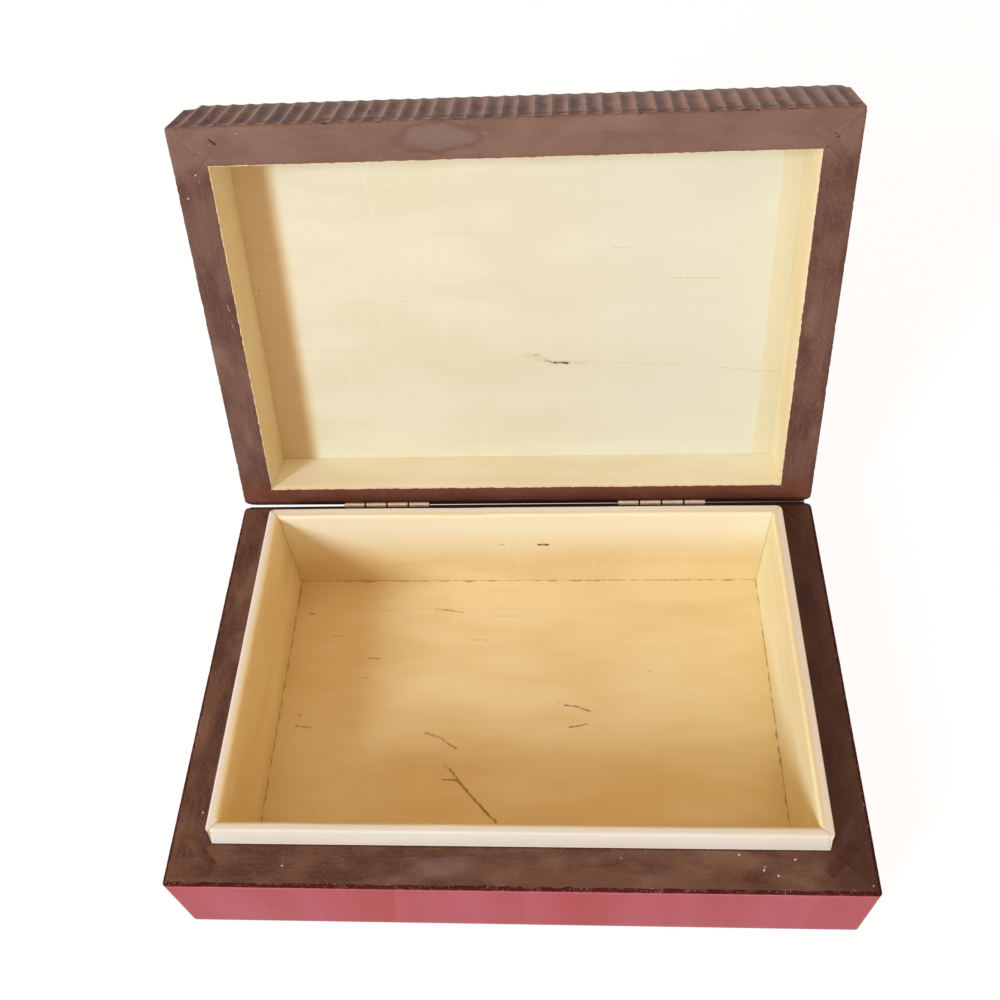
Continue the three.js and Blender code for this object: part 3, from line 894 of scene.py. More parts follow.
class Paint:
    """A material, its colour laid on in layers. Lengths in it are in millimetres on the piece."""

    def __init__(self, name, roughness=0.5, specular=0.5, metallic=0.0):
        self.material = bpy.data.materials.new(name)
        self.material.use_nodes = True
        self.tree = self.material.node_tree
        self.shader = self.tree.nodes["Principled BSDF"].inputs
        self.shader["Roughness"].default_value = roughness
        self.shader["Specular IOR Level"].default_value = specular
        self.shader["Metallic"].default_value = metallic
        self.grain = self.attribute("grain", "Vector")
        self.spot = self.attribute("spot", "Vector")
        self.along, self.inward, self.up = self.parts(self.attribute("place", "Vector"))
        self.right, self.back, _ = self.parts(self.spot)

    def wire(self, socket, value):
        if isinstance(value, Value):
            self.tree.links.new(value.socket, socket)
        elif value is not None:
            socket.default_value = value

    def node(self, kind):
        return self.tree.nodes.new("ShaderNode" + kind)

    def filled(self, node, values, output=0):
        """An output of a node with these values for its inputs, in their order."""
        for socket, value in zip(node.inputs, values):
            self.wire(socket, value)
        return Value(self, node.outputs[output])

    def attribute(self, name, output="Fac"):
        node = self.node("Attribute")
        node.attribute_name = name
        return Value(self, node.outputs[output])

    def parts(self, vector):
        node = self.node("SeparateXYZ")
        self.wire(node.inputs[0], vector)
        return [Value(self, output) for output in node.outputs]

    def math(self, operation, *values):
        node = self.node("Math")
        node.operation = operation
        return self.filled(node, values)

    def vector(self, operation, *values):
        node = self.node("VectorMath")
        node.operation = operation
        return self.filled(node, values, "Value" if operation in ("LENGTH", "DOT_PRODUCT") else "Vector")

    def noise(self, sizes, detail=2.0, shift=0.0):
        """Noise from 0 to 1 whose features have about these sizes along, inward and up."""
        scaled = self.vector("DIVIDE", self.grain, sizes)
        shifted = self.vector("ADD", scaled, (shift, 3 * shift, 7 * shift))
        return self.filled(self.node("TexNoise"), (shifted, None, 1, detail))

    def ramp(self, value, low, high):
        """0 where the value is at low, 1 where it is at high, and smooth between."""
        node = self.node("MapRange")
        node.interpolation_type = "SMOOTHSTEP"
        return self.filled(node, (value, low, high))

    def shaken(self, value, sizes, amount, shift=0.0):
        """A value with noise of about plus or minus half the amount."""
        return value + (self.noise(sizes, 3, shift) - 0.5) * amount

    def cover(self, shade, share):
        """Lays a shade over the colour by a share."""
        node = self.node("Mix")
        node.data_type = "RGBA"
        self.base = self.filled(node, (share, *[None] * 5, self.base, shade), 2)

    def lay(self, shade, strength, value, low, high):
        """Lays a shade over the colour, not at all where the value is at low, by its strength at high."""
        self.cover(shade, self.ramp(value, low, high) * strength)

    def off_line(self, here, start, end):
        """Distance from the straight line between two points."""
        run = Vector(end) - Vector(start)
        from_start = self.vector("SUBTRACT", here, start)
        share = self.math("DIVIDE", self.vector("DOT_PRODUCT", from_start, tuple(run)), run.length_squared)
        held = self.math("MINIMUM", self.math("MAXIMUM", share, 0.0), 1.0)
        reached = self.vector("SCALE", tuple(run), None, None, held)
        return self.vector("LENGTH", self.vector("SUBTRACT", from_start, reached))

    def mark(self, marks, plane="xy"):
        """Adds ragged strokes, each of a colour, width and strength and through places of the shut box."""
        here = self.vector("MULTIPLY", self.spot, PLANES[plane])
        for shade, width, strength, *flat in marks:
            points = [(a, b, 0.0) if plane == "xy" else (a, 0.0, b) for a, b in zip(flat[::2], flat[1::2])]
            lines = [self.off_line(here, start, end) for start, end in zip(points, points[1:])]
            off = lines[0] if lines else self.vector("LENGTH", self.vector("SUBTRACT", here, points[0]))
            for line in lines[1:]:
                off = self.math("MINIMUM", off, line)
            rough = self.shaken(off, (0.9, 0.9, 0.9), width * 1.5, len(points) + width)
            broken = self.ramp(self.noise((1.7, 1.7, 1.7), 2, width), 0.3, 0.55)
            share = self.ramp(rough, width, width * 0.25) * broken * (strength * MARK_STRENGTH[shade])
            self.cover(shade, share)
            self.height = self.height - share * 0.3

    def finish(self, roughness, bump, distance):
        """Wires the colour, roughness and bump, and returns the material."""
        self.wire(self.shader["Base Color"], self.base)
        self.wire(self.shader["Roughness"], roughness)
        made = self.node("Bump")
        made.inputs["Strength"].default_value = bump
        made.inputs["Distance"].default_value = distance * MM
        self.wire(made.inputs["Height"], self.height)
        self.tree.links.new(made.outputs[0], self.shader["Normal"])
        return self.material


def pale_figure(paint, light, dark, tan):
    """Bare pale wood: faint fibres, broad clouds, a few growth lines and short flecks."""
    fibre = paint.noise((18, 0.3, 0.3), 3, 1.7)
    fleck = paint.noise((2.8, 0.2, 0.2), 1, 5.5)
    paint.base = light
    paint.lay(dark, 1, paint.noise((50, 18, 18), 2, 4.1), 0.35, 0.65)
    paint.lay(tan, 0.12, fibre, 0.4, 0.75)
    paint.lay(tan, 0.1, paint.noise((150, 0.9, 0.9), 1, 8.3), 0.64, 0.72)
    paint.lay(PALE_MARK, 0.07, paint.noise((2.6, 40, 40), 3, 6.9), 0.5, 0.75)
    paint.lay(FLECK, 0.4, fleck, 0.72, 0.8)
    paint.height = fibre * 0.6 - fleck * 0.4


def pale_wood(name, shades, marks=(), plane="xy", wear_and_painted_light=None):
    """Bare pale wood with the marks that a piece carries, and what a given function lays on: painted
    light and shade on the lid's panel and the liner's back strip, a darker line along the floor's joints.
    """
    paint = Paint(name, 0.62, 0.2)
    pale_figure(paint, *shades)
    if wear_and_painted_light:
        wear_and_painted_light(paint)
    paint.mark(marks, plane)
    return paint.finish(paint.noise((20, 2, 2), 2, 2.2) * 0.2 + 0.5, 0.25, 0.06)


def panel_painted_light_and_shadow(paint):
    """Painted light and shade on the lid's panel: whiter to the right as painted light, and more tan
    beside both end walls as painted shadows of those walls.
    """
    paint.lay(PANEL_PAINTED_LIGHT, 0.8, paint.right, -30, 70)
    paint.lay(PANEL_LEFT_PAINTED_SHADOW, 0.45, paint.shaken(paint.right, (9, 9, 9), 5, 3.4), -81, -86)
    paint.lay(PANEL_RIGHT_PAINTED_SHADOW, 0.45, paint.shaken(paint.right, (14, 14, 14), 3, 5.4), 90.5, 91.5)


def back_strip_painted_shade_and_light(paint):
    """The liner's back strip is paler towards its top: painted light over the darker copy of its wood,
    which is painted shade.
    """
    paint.lay(TRAY_TOP_PAINTED_LIGHT, 1, paint.up, 14, 42)


def aged_floor(paint):
    """The tray's floor is darker in a ragged line along its joints."""
    gap = paint.math("MINIMUM", LINER_X - LINER - abs(paint.right), LINER_Y - LINER - abs(paint.back))
    paint.lay(BROWN_MARK, 0.6, paint.shaken(gap, (3.5, 3.5, 3.5), 2.4, 2.6), 0.6, 0.0)


def lip_wood():
    """The planed outside and top of the lip, with painted shade on the inner rounding of its top, and a
    ragged painted highlight at its foot and along its outer top arris.
    """
    paint = Paint("lip_wood", 0.6)
    pale_figure(paint, *LIP_SHADES)
    # Painted shade on the inner rounding of the lip's top
    across = paint.inward - paint.ramp(paint.back, -57.5, -59.5)
    paint.lay(LIP_TOP_PAINTED_SHADE, 0.85, paint.shaken(across, (9, 9, 9), 0.8, 5.2), 1.9, 2.6)
    # A ragged painted highlight at the lip's foot and along its outer top arris
    rise = paint.shaken(paint.up - BASE_HEIGHT, (3.5, 3.5, 0.6), 1.2, 3.7)
    arris = abs(paint.inward + (LIP_TOP - 0.6 - paint.up))
    paint.cover(LIP_PAINTED_HIGHLIGHT, paint.ramp(rise, 0.9, 0.5) + paint.ramp(arris, 0.6, 0.2))
    return paint.finish(0.6, 0.25, 0.05)


def stain_figure(paint, light, middle, dark):
    """Brown stain: soft mottling, faint streaks along the grain and open pores."""
    streak = paint.noise((12, 0.7, 0.7), 3, 6.2)
    speckle = paint.noise((1.1, 0.6, 0.6), 2, 3.9)
    pore = paint.noise((1.4, 0.22, 0.22), 1, 2.9)
    paint.base = dark
    paint.lay(middle, 1, paint.noise((16, 9, 9), 4, 1.1), 0.36, 0.62)
    paint.lay(light, 0.55, paint.noise((26, 13, 13), 3, 7.3), 0.52, 0.72)
    paint.lay(light, 0.18, streak, 0.45, 0.75)
    paint.lay(light, 0.35, speckle, 0.45, 0.8)
    paint.lay(PORE_BLACK, 0.4, pore, 0.66, 0.78)
    paint.height = speckle * 0.7 + streak * 0.3 - pore * 0.4


def specked(paint, strength, share, shift):
    """Small pale specks scattered over stain, fewer for a higher share."""
    paint.lay(CHIP, strength, paint.noise((0.9, 0.9, 0.9), 1, shift), share, share + 0.03)


def worn_arris(paint, off_edge, reach, dark):
    """A dark ragged line along an arris, with small pale chips in it."""
    paint.lay(dark, 0.92, paint.shaken(off_edge, (2.4, 0.9, 0.9), 1.9, 9.4), reach, reach * 0.6)
    near = paint.ramp(paint.shaken(off_edge, (3, 1, 1), 1.2, 4.6), reach * 1.4, reach)
    chip = paint.ramp(paint.noise((0.5, 0.32, 0.32), 2, 5.1), 0.64, 0.7)
    paint.cover(CHIP, near * chip * paint.ramp(paint.noise((9, 9, 9), 2, 7.9), 0.45, 0.6))


def bloomed(paint, centre, reach, outline):
    """A grey bloom in the stain of a rim, with an outline of some strength."""
    here = paint.vector("MULTIPLY", paint.spot, PLANES["xy"])
    off = paint.vector("DIVIDE", paint.vector("SUBTRACT", here, centre), reach)
    out = paint.shaken(paint.vector("LENGTH", off), (7, 4, 4), 0.8, 4.4)
    paint.cover(BLOOM_OUTLINE, paint.ramp(out, 0.7, 0.95) * paint.ramp(out, 1.2, 1.0) * outline)
    paint.lay(BLOOM, 0.2 + outline, out, 1.0, 0.3)


def base_rim_stain_and_shadow(paint):
    """The stain of the base's rim: greyer in a bloom on the front, and darker along the right in a
    painted shadow of the lip.
    """
    stain_figure(paint, *BASE_RIM_SHADES)
    bloomed(paint, (-22, -69.8, 0), (12, 5, 1), 0.1)
    # Painted shadow of the lip along the right of the rim
    paint.lay(RIM_SHADOW, 0.6, paint.right, 88, 101)


def lid_rim_stain_and_sheen(paint, shades):
    """The stain of the lid's rim: redder along the back, and paler along the front as a painted sheen."""
    stain_figure(paint, *shades)
    paint.lay(RIM_RED, 0.7, paint.back, 55, 66)
    # Painted sheen along the front of the lid's rim
    paint.lay(RIM_PAINTED_SHEEN, 0.45, paint.back, -58, -66)


def back_edge_painted_shade(paint):
    """Painted shade along the back edge of a rim, by the bevel at the back."""
    paint.lay(PORE_AND_SHADE_DARK, 0.85, paint.shaken(paint.back, (4, 1, 1), 1.0, 3.6), 69.4, 70.0)


def base_rim_material():
    """Brown stain on the base's rim: satin, worn pale in specks, with a dark ragged outer arris."""
    paint = Paint("base_rim_stain", 0.5, 0.25)
    base_rim_stain_and_shadow(paint)
    specked(paint, 0.6, 0.78, 3.3)
    paint.mark(BASE_RIM_MARKS)
    off_edge = paint.inward + (BASE_HEIGHT - paint.up)
    worn_arris(paint, off_edge, 1.25, ARRIS_DARK)
    foot = paint.shaken(WALL - paint.inward, (1.6, 0.8, 0.8), 1.1, 2.8)
    paint.lay(PORE_AND_SHADE_DARK, 0.8, foot, 0.55, 0.25)
    # Painted shade along the back edge
    back_edge_painted_shade(paint)
    rough = paint.noise((9, 5, 5), 2, 7.7) * 0.2 + 0.4
    return paint.finish(paint.math("MAXIMUM", rough, paint.ramp(off_edge, 1.8, 1.0)), 0.35, 0.1)


def lid_rim_material():
    """Brown stain on the lid's rim: drier than the base's, with its inner arris broken in pale chips."""
    paint = Paint("lid_rim_stain", 0.7, 0.2)
    lid_rim_stain_and_sheen(paint, LID_RIM_SHADES)
    specked(paint, 0.6, 0.8, 1.9)
    bloomed(paint, (-22.6, -71, 0), (13.5, 4.6, 1), 0.3)
    paint.mark(LID_RIM_MARKS)
    worn_arris(paint, paint.inward + paint.up, 0.62, LID_ARRIS_DARK)
    # Painted shade along the back edge
    back_edge_painted_shade(paint)
    paint.lay(BARE_ARRIS, 1, paint.shaken(paint.attribute("inside"), (2.2, 0.7, 0.7), 0.8, 6.6), 0.5, 0.3)
    return paint.finish(paint.noise((9, 5, 5), 2, 7.7) * 0.2 + 0.6, 0.35, 0.1)


def flute_material():
    """Stain over the gouged outside of the lid: painted shade down one side of each cove and painted light
    up the other, painted shadow in the stop cuts, ridges rubbed pale with a painted highlight, and a
    grey of dust and painted sheen towards the top edge."""
    paint = Paint("flute_stain", 0.55, 0.3)
    stain_figure(paint, *FLUTE_SHADES)
    paint.lay(FLUTE_RED, 0.5, paint.noise((5.4, 4, 12), 1, 3.9), 0.45, 0.7)
    across = paint.shaken(paint.attribute("across"), (2.2, 2.2, 6), 0.7, 2.9)
    # Painted shade on one side of each cove and painted light on the other
    paint.lay(FLUTE_PAINTED_SHADE, 0.55, across, 0.1, -0.5)
    paint.lay(FLUTE_PAINTED_LIGHT, 0.5, across, 0.0, 0.6)
    # Ridges rubbed pale, partly wear and partly a painted highlight
    ridge = paint.ramp(paint.shaken(paint.attribute("cove"), (2.4, 2.4, 5), 0.9, 7.2), 0.8, 0.1)
    ridge = ridge * paint.ramp(paint.up, FLUTE_FOOT, FLUTE_FOOT + 1.2)
    paint.cover(RUBBED_AND_HIGHLIT, ridge * paint.ramp(paint.noise((3, 3, 7), 2, 2.6), 0.28, 0.55) * 0.5)
    # Greyer towards the top edge, partly dust and partly a painted sheen
    paint.lay(DUST_AND_SHEEN, 0.6, paint.shaken(paint.up, (3, 3, 2), 5, 5.7), LID_HEIGHT - 8, LID_HEIGHT - 1)
    # Painted shadow in the stop cuts at the flutes' feet
    off_stop = abs(paint.up - (FLUTE_FOOT - 0.6))
    stop = paint.ramp(paint.shaken(off_stop, (1.6, 1.6, 1.6), 1.6), 1.3, 0.7)
    paint.cover(PORE_AND_SHADE_DARK, stop * paint.ramp(abs(across), 0.95, 0.5) * 0.9)
    specked(paint, 0.7, 0.76, 1.2)
    worn_arris(paint, paint.inward + paint.up, 0.7, LID_ARRIS_DARK)
    return paint.finish(paint.noise((9, 3, 3), 2, 7.7) * 0.25 + 0.42, 0.4, 0.12)


def lacquer_material(name, patches, streaks, edged):
    """Glossy cranberry lacquer in uneven patches and streaks, on the walls with the stain's ragged edge on
    top and a painted highlight just below that edge."""
    paint = Paint(name, 0.36, 0.14)
    drop = BASE_HEIGHT - paint.up
    upright = paint.right + (LEAN_MIDDLE - paint.right) * drop * LACQUER_LEAN
    patch = paint.noise(patches, 2, 2.4)
    paint.base = LACQUER_DEEP
    paint.lay(LACQUER, 1, patch, 0.36, 0.64)
    paint.lay(LACQUER_PALE, 0.22, paint.noise(streaks, 2, 5.8), 0.4, 0.75)
    for start, end in LACQUER_LAPS:
        place = paint.shaken(upright, (5, 5, 60), 2.5, 6.1)
        lap = paint.ramp(place, start - 16, start) * paint.ramp(place, end + 1.5, end)
        paint.cover(LACQUER_LAP, lap * paint.ramp(paint.back, 0, -60) * 0.75)
    paint.height = paint.noise((30, 2.2, 2.2), 3, 3.1) * 0.8
    rough = patch * 0.3 + 0.22
    if edged:
        # Painted highlight just below the lacquer's top edge
        paint.cover(LACQUER_PAINTED_HIGHLIGHT, paint.ramp(drop, 1.2, 1.6) * paint.ramp(drop, 2.5, 1.8) * 0.4)
        worn_arris(paint, paint.inward + drop, 1.25, ARRIS_DARK)
        paint.lay(LACQUER_FOOT, 0.8, paint.up, 2.4, 1.5)
        rough = paint.math("MAXIMUM", rough, paint.ramp(paint.inward + drop, 1.8, 1.0))
    return paint.finish(rough, 0.12, 0.1)


def tongue_material(name, is_lid):
    """Stained end grain of the tongues, on the lid a shade darker than the rim round it."""
    paint = Paint(name, 0.65, 0.2)
    # The base's tongues take the rim's painted shadow along the right, the lid's its painted sheen along the
    # front
    if is_lid:
        lid_rim_stain_and_sheen(paint, LID_TONGUE_SHADES)
    else:
        base_rim_stain_and_shadow(paint)
    paint.lay(PORE_AND_SHADE_DARK, 0.2, paint.noise((0.5, 0.5, 0.5), 1, 8.8), 0.6, 0.7)
    # Painted shade along the back edge
    back_edge_painted_shade(paint)
    return paint.finish(None, 0.4, 0.1)


def nail_material():
    """Coppery brass of the nails' heads."""
    paint = Paint("nail_brass", 0.4, 0.5, 0.85)
    paint.height = paint.noise((1.8, 1.2, 1.2), 3, 1.4)
    paint.base = NAIL_DEEP
    paint.lay(NAIL_PALE, 1, paint.height, 0.3, 0.7)
    return paint.finish(0.34, 0.1, 0.03)


def brass_material():
    """Coppery brass of a leaf and its pin, near white at the knuckles as a painted highlight, and dark in
    the gaps between them as painted shade.
    """
    paint = Paint("brass_painted_highlight", 0.4)
    cloud = paint.noise((1.8, 1.2, 1.2), 3, 1.4)
    # Painted highlight: the knuckles and pin near white
    paint.base = BRASS_KNUCKLE_HIGHLIGHT
    paint.lay(BRASS_KNUCKLE_GLINT, 1, cloud, 0.3, 0.6)
    paint.lay(TARNISH, 0.3, paint.noise((6, 2, 2), 2, 4.3), 0.58, 0.72)
    plate = paint.ramp(paint.inward, BARREL_RADIUS + 0.1, BARREL_RADIUS + 0.7)
    paint.cover(BRASS_PLATE, plate * 0.9)
    paint.wire(paint.shader["Metallic"], plate * 0.5 + 0.4)
    # Painted shade in the gaps between the knuckles
    pitch = (HINGE_LENGTH + KNUCKLE_GAP) / KNUCKLES
    turn = paint.math("FRACT", paint.math("DIVIDE", paint.along + 3 * pitch, pitch))
    paint.cover(PORE_AND_SHADE_DARK, paint.ramp(abs(turn - 0.5), 0.45, 0.47) * paint.ramp(plate, 0.3, 0.0))
    paint.height = paint.noise((2.5, 0.08, 0.08), 2, 3.8)
    return paint.finish(cloud * 0.25 + 0.28, 0.15, 0.03)


# Shades of each wood, light, dark and tan for bare wood, and light, middle and dark for stain
PANEL_SHADES = (colour(222, 221, 202), colour(217, 214, 191), colour(208, 186, 142))
# Painted light towards the right of the lid's panel, and painted shadows beside its two end walls
PANEL_PAINTED_LIGHT = colour(222, 226, 214)
PANEL_LEFT_PAINTED_SHADOW = colour(226, 190, 130)
PANEL_RIGHT_PAINTED_SHADOW = colour(222, 204, 152)
INNER_SHADES = (colour(241, 230, 194), colour(235, 221, 180), colour(220, 188, 132))
# A paler copy of the lid's inner wood for its back wall inside, as painted light
INNER_BACK_PAINTED_LIGHT = (colour(247, 243, 222), colour(243, 236, 208), colour(230, 206, 156))
TRAY_SHADES = (colour(243, 228, 186), colour(236, 216, 166), colour(214, 176, 118))
# A darker copy of the tray's wood for the liner's back strip, as painted shade
TRAY_BACK_PAINTED_SHADE = (colour(229, 208, 160), colour(221, 197, 146), colour(206, 172, 118))
# A paler copy of the tray's wood for the liner's right strip, as painted light
TRAY_RIGHT_PAINTED_LIGHT = (colour(245, 238, 202), colour(240, 229, 186), colour(224, 196, 140))
# Painted light towards the top of the liner's back strip
TRAY_TOP_PAINTED_LIGHT = colour(240, 236, 212)
LIP_SHADES = (colour(232, 232, 228), colour(229, 227, 219), colour(220, 200, 160))
# Painted shade for the inner rounding of the lip's top, and painted highlight for its foot and outer arris
LIP_TOP_PAINTED_SHADE = colour(232, 214, 162)
LIP_PAINTED_HIGHLIGHT = colour(246, 236, 230)
BASE_RIM_SHADES = (colour(132, 100, 84), colour(104, 70, 55), colour(78, 46, 35))
RIM_SHADOW = colour(60, 28, 20)
RIM_RED = colour(106, 54, 36)
# Painted sheen for the front of the lid's rim
RIM_PAINTED_SHEEN = colour(142, 116, 105)
BLOOM = colour(124, 112, 113)
LID_RIM_SHADES = (colour(136, 108, 97), colour(108, 79, 70), colour(88, 59, 52))
LID_TONGUE_SHADES = (colour(132, 102, 90), colour(106, 75, 65), colour(88, 58, 49))

FLUTE_SHADES = (colour(160, 126, 116), colour(122, 88, 80), colour(84, 56, 52))
FLUTE_RED = colour(122, 64, 66)
# Painted shade and light for the coves' sides, and partly painted highlight and sheen for ridges and top edge
FLUTE_PAINTED_SHADE = colour(66, 40, 38)
FLUTE_PAINTED_LIGHT = colour(172, 142, 132)
RUBBED_AND_HIGHLIT = colour(164, 138, 130)
DUST_AND_SHEEN = colour(126, 128, 124)
BLOOM_OUTLINE = colour(84, 58, 54)
BARE_ARRIS = colour(236, 212, 178)
CHIP = colour(196, 162, 142)
ARRIS_DARK = colour(62, 6, 16)
LID_ARRIS_DARK = colour(58, 34, 31)
# Dark of pores and of the base rim's inner edge, and of painted shade at back edges, stop cuts and knuckle
# gaps
PORE_AND_SHADE_DARK = colour(44, 24, 20)
PORE_BLACK = colour(38, 20, 16)
LACQUER_DEEP = colour(158, 24, 38)
LACQUER = colour(168, 62, 80)
LACQUER_PALE = colour(176, 86, 108)
LACQUER_LAP = colour(158, 10, 18)
# Painted highlight below the lacquer's top edge
LACQUER_PAINTED_HIGHLIGHT = colour(196, 112, 124)
LACQUER_FOOT = colour(136, 104, 126)
# Painted highlight of the knuckles and pin
BRASS_KNUCKLE_HIGHLIGHT = colour(246, 226, 212)
BRASS_KNUCKLE_GLINT = colour(255, 246, 238)
BRASS_PLATE = colour(206, 160, 112)
TARNISH = colour(130, 108, 84)
NAIL_DEEP = colour(198, 150, 104)
NAIL_PALE = colour(222, 180, 132)

# Colours of the marks
FLECK = colour(186, 134, 80)
DARK_MARK = colour(84, 46, 16)
BROWN_MARK = colour(140, 84, 36)
TAN_MARK = colour(200, 160, 100)
KNOT_MARK = colour(66, 44, 24)
PALE_MARK = colour(247, 241, 222)
SPECK = colour(232, 214, 196)
TEAR = colour(30, 16, 16)

# Sizes of the lacquer's uneven patches and streaks, upright on the walls and along the lid's top
WALL_PATCHES = (22, 22, 500)
WALL_STREAKS = (7, 7, 300)
TOP_PATCHES = (130, 16, 16)
TOP_STREAKS = (70, 4, 4)

# Where laps of the lacquer's brush leave it deeper along the front, from and to
LACQUER_LAPS = [(-44, -37.5), (20, 28)]

# Where the front's laps stand upright, and how much they lean for each millimetre down and from there
LEAN_MIDDLE = 17
LACQUER_LEAN = 0.0021

# How strongly marks of each colour show
MARK_STRENGTH = {DARK_MARK: 0.85, BROWN_MARK: 0.8, TAN_MARK: 0.6, KNOT_MARK: 1}
MARK_STRENGTH.update({PALE_MARK: 0.6, SPECK: 1, TEAR: 0.9})

# Marks, each of a colour, width and strength, through places given across and up or back
FLOOR_MARKS = [
    (BROWN_MARK, 0.8, 0.8, -29.1, -20.3, -25.2, -23.9, -23.4, -27.0, -18.8, -31.9, -12.3, -39.0,
     -9.0, -42.0),
    (DARK_MARK, 0.35, 0.7, -25.2, -23.9, -18.8, -31.9, -10.3, -41.0),
    (DARK_MARK, 0.45, 0.8, -28.7, -26.6, -23.7, -26.7),
    (BROWN_MARK, 0.65, 0.65, -36.4, -8.4, -30.5, -10.4, -26.5, -13.6, -24.0, -14.6),
    (DARK_MARK, 0.35, 0.6, -28.0, -12.4, -24.6, -14.6),
    (DARK_MARK, 0.45, 0.85, 15.4, 3.1, 20.1, 2.5, 25.7, 0.2),
    (DARK_MARK, 0.45, 0.8, 17.2, -5.8, 21.4, -5.2, 23.8, -4.5),
    (BROWN_MARK, 0.45, 0.55, -36.2, 45.3, -30.3, 44.6, -24.1, 43.6),
    (DARK_MARK, 0.4, 0.6, -32.0, 44.9, -28.5, 44.3),
    (BROWN_MARK, 0.4, 0.5, -20.6, 31.1, -14.5, 31.1),
    (DARK_MARK, 0.5, 0.6, -87.2, 43.3, -85.5, 43.0),
    (BROWN_MARK, 0.45, 0.5, -76.3, 33.3, -72.1, 32.8),
    (DARK_MARK, 0.45, 0.7, -61.0, 23.0, -56.7, 22.7),
    (BROWN_MARK, 0.4, 0.35, -62.7, 14.5, -59.5, 14.3),
    (DARK_MARK, 0.45, 0.55, -85.8, -5.8, -82.7, -6.2, -79.9, -6.6),
    (BROWN_MARK, 0.35, 0.25, -59.4, 44.9, -52.8, 44.8),
    (BROWN_MARK, 0.35, 0.3, -11.7, 41.9, -2.7, 42.0),
    (DARK_MARK, 0.4, 0.6, 13.0, 4.4),
    (DARK_MARK, 0.45, 0.8, 48.1, 17.3),
    (DARK_MARK, 0.4, 0.6, -73.9, 39.5),
    (DARK_MARK, 0.45, 0.8, -59.8, 30.0),
    (DARK_MARK, 0.5, 0.85, -84.9, -1.6),
    (BROWN_MARK, 0.6, 0.3, 55.5, 27.0),
    (BROWN_MARK, 0.4, 0.35, 81.0, 5.8),
    (BROWN_MARK, 0.6, 0.35, -75.0, -38.5),
]
PANEL_MARKS = [
    (TAN_MARK, 1.8, 0.3, 2.0, 18.5, 14.0, 21.5, 24.0, 21.6),
    (BROWN_MARK, 0.55, 0.5, 2.9, 17.5, 7.4, 18.2),
    (BROWN_MARK, 0.6, 0.75, 9.2, 20.2, 12.3, 21.3, 18.8, 21.5),
    (KNOT_MARK, 0.7, 0.9, 13.0, 21.5, 17.8, 21.6),
    (TAN_MARK, 0.4, 0.35, 18.3, 21.4, 30.1, 21.6, 60.2, 22.9),
    (TAN_MARK, 0.45, 0.5, 75.3, 24.4, 91.1, 26.4, 96, 26.5),
    (TAN_MARK, 0.6, 0.35, -98, -25.3, -92.3, -24.6, -85.7, -24.0),
    (TAN_MARK, 0.45, 0.3, -98.6, -16.0, -89, -15.6, -81.2, -15.2),
    (TAN_MARK, 0.4, 0.5, 33.9, -24.3, 40.2, -23.8),
    (TAN_MARK, 0.4, 0.6, 56.3, -12.1, 65.6, -11.8, 73.4, -11.6),
    (TAN_MARK, 0.35, 0.4, -98.1, 14.3, -66.9, 14.9),
    (PALE_MARK, 0.5, 0.3, -52.7, -62.0, -51.3, -44.4, -49.1, -36.2),
    (KNOT_MARK, 0.5, 0.95, -95.9, -10.6),
]
BACK_MARKS = [
    (DARK_MARK, 0.45, 0.8, -9.9, 27.2, -7.7, 27.4),
    (KNOT_MARK, 0.95, 0.95, 5.9, 27.3, 9.3, 27.3),
    (BROWN_MARK, 0.45, 0.8, 6.5, 27.3, 8.8, 27.3),
]
BASE_RIM_MARKS = [
    (SPECK, 0.45, 0.9, -73.3, -69.9),
    (SPECK, 0.3, 0.7, -73.0, -68.9),
    (SPECK, 0.5, 0.9, 86.0, -66.1),
    (SPECK, 0.5, 0.9, 80.2, -71.1),
    (SPECK, 0.35, 0.9, 76.0, -69.6, 76.6, -68.4),
    (SPECK, 0.4, 0.9, 69.0, -64.9),
    (SPECK, 0.35, 0.8, 32.8, -66.2),
    (SPECK, 0.4, 0.9, 108.1, -73.8),
    (SPECK, 0.45, 0.8, -101.9, -53.3),
    (TEAR, 0.5, 0.8, -97.0, -69.2, -95.9, -71.4),
    (TEAR, 0.6, 0.8, 104.9, -60.5),
    (TEAR, 0.5, 0.7, 101.2, -67.0, 101.9, -67.8),
    (TEAR, 0.5, 0.7, 95.0, -69.8, 95.6, -70.6),
]
LID_RIM_MARKS = [
    (TEAR, 0.6, 0.95, -96.4, -72.3, -94.6, -70.8),
    (SPECK, 0.6, 0.95, -103.3, -61.2),
    (SPECK, 0.4, 0.8, -107.1, -53.3),
    (SPECK, 0.4, 0.8, -87.4, -74.0),
    (TEAR, 0.5, 0.9, 101.6, -68.6, 102.8, -67.3),
    (TEAR, 0.5, 0.9, 99.0, -64.0, 99.8, -64.6),
    (TEAR, 0.5, 0.7, 105.6, -61.1, 106.6, -60.6),
    (SPECK, 0.25, 0.3, -101.2, -15.0, -100.9, -12.6),
    (SPECK, 0.22, 0.3, -101.0, -9.0, -100.8, -6.0),
]


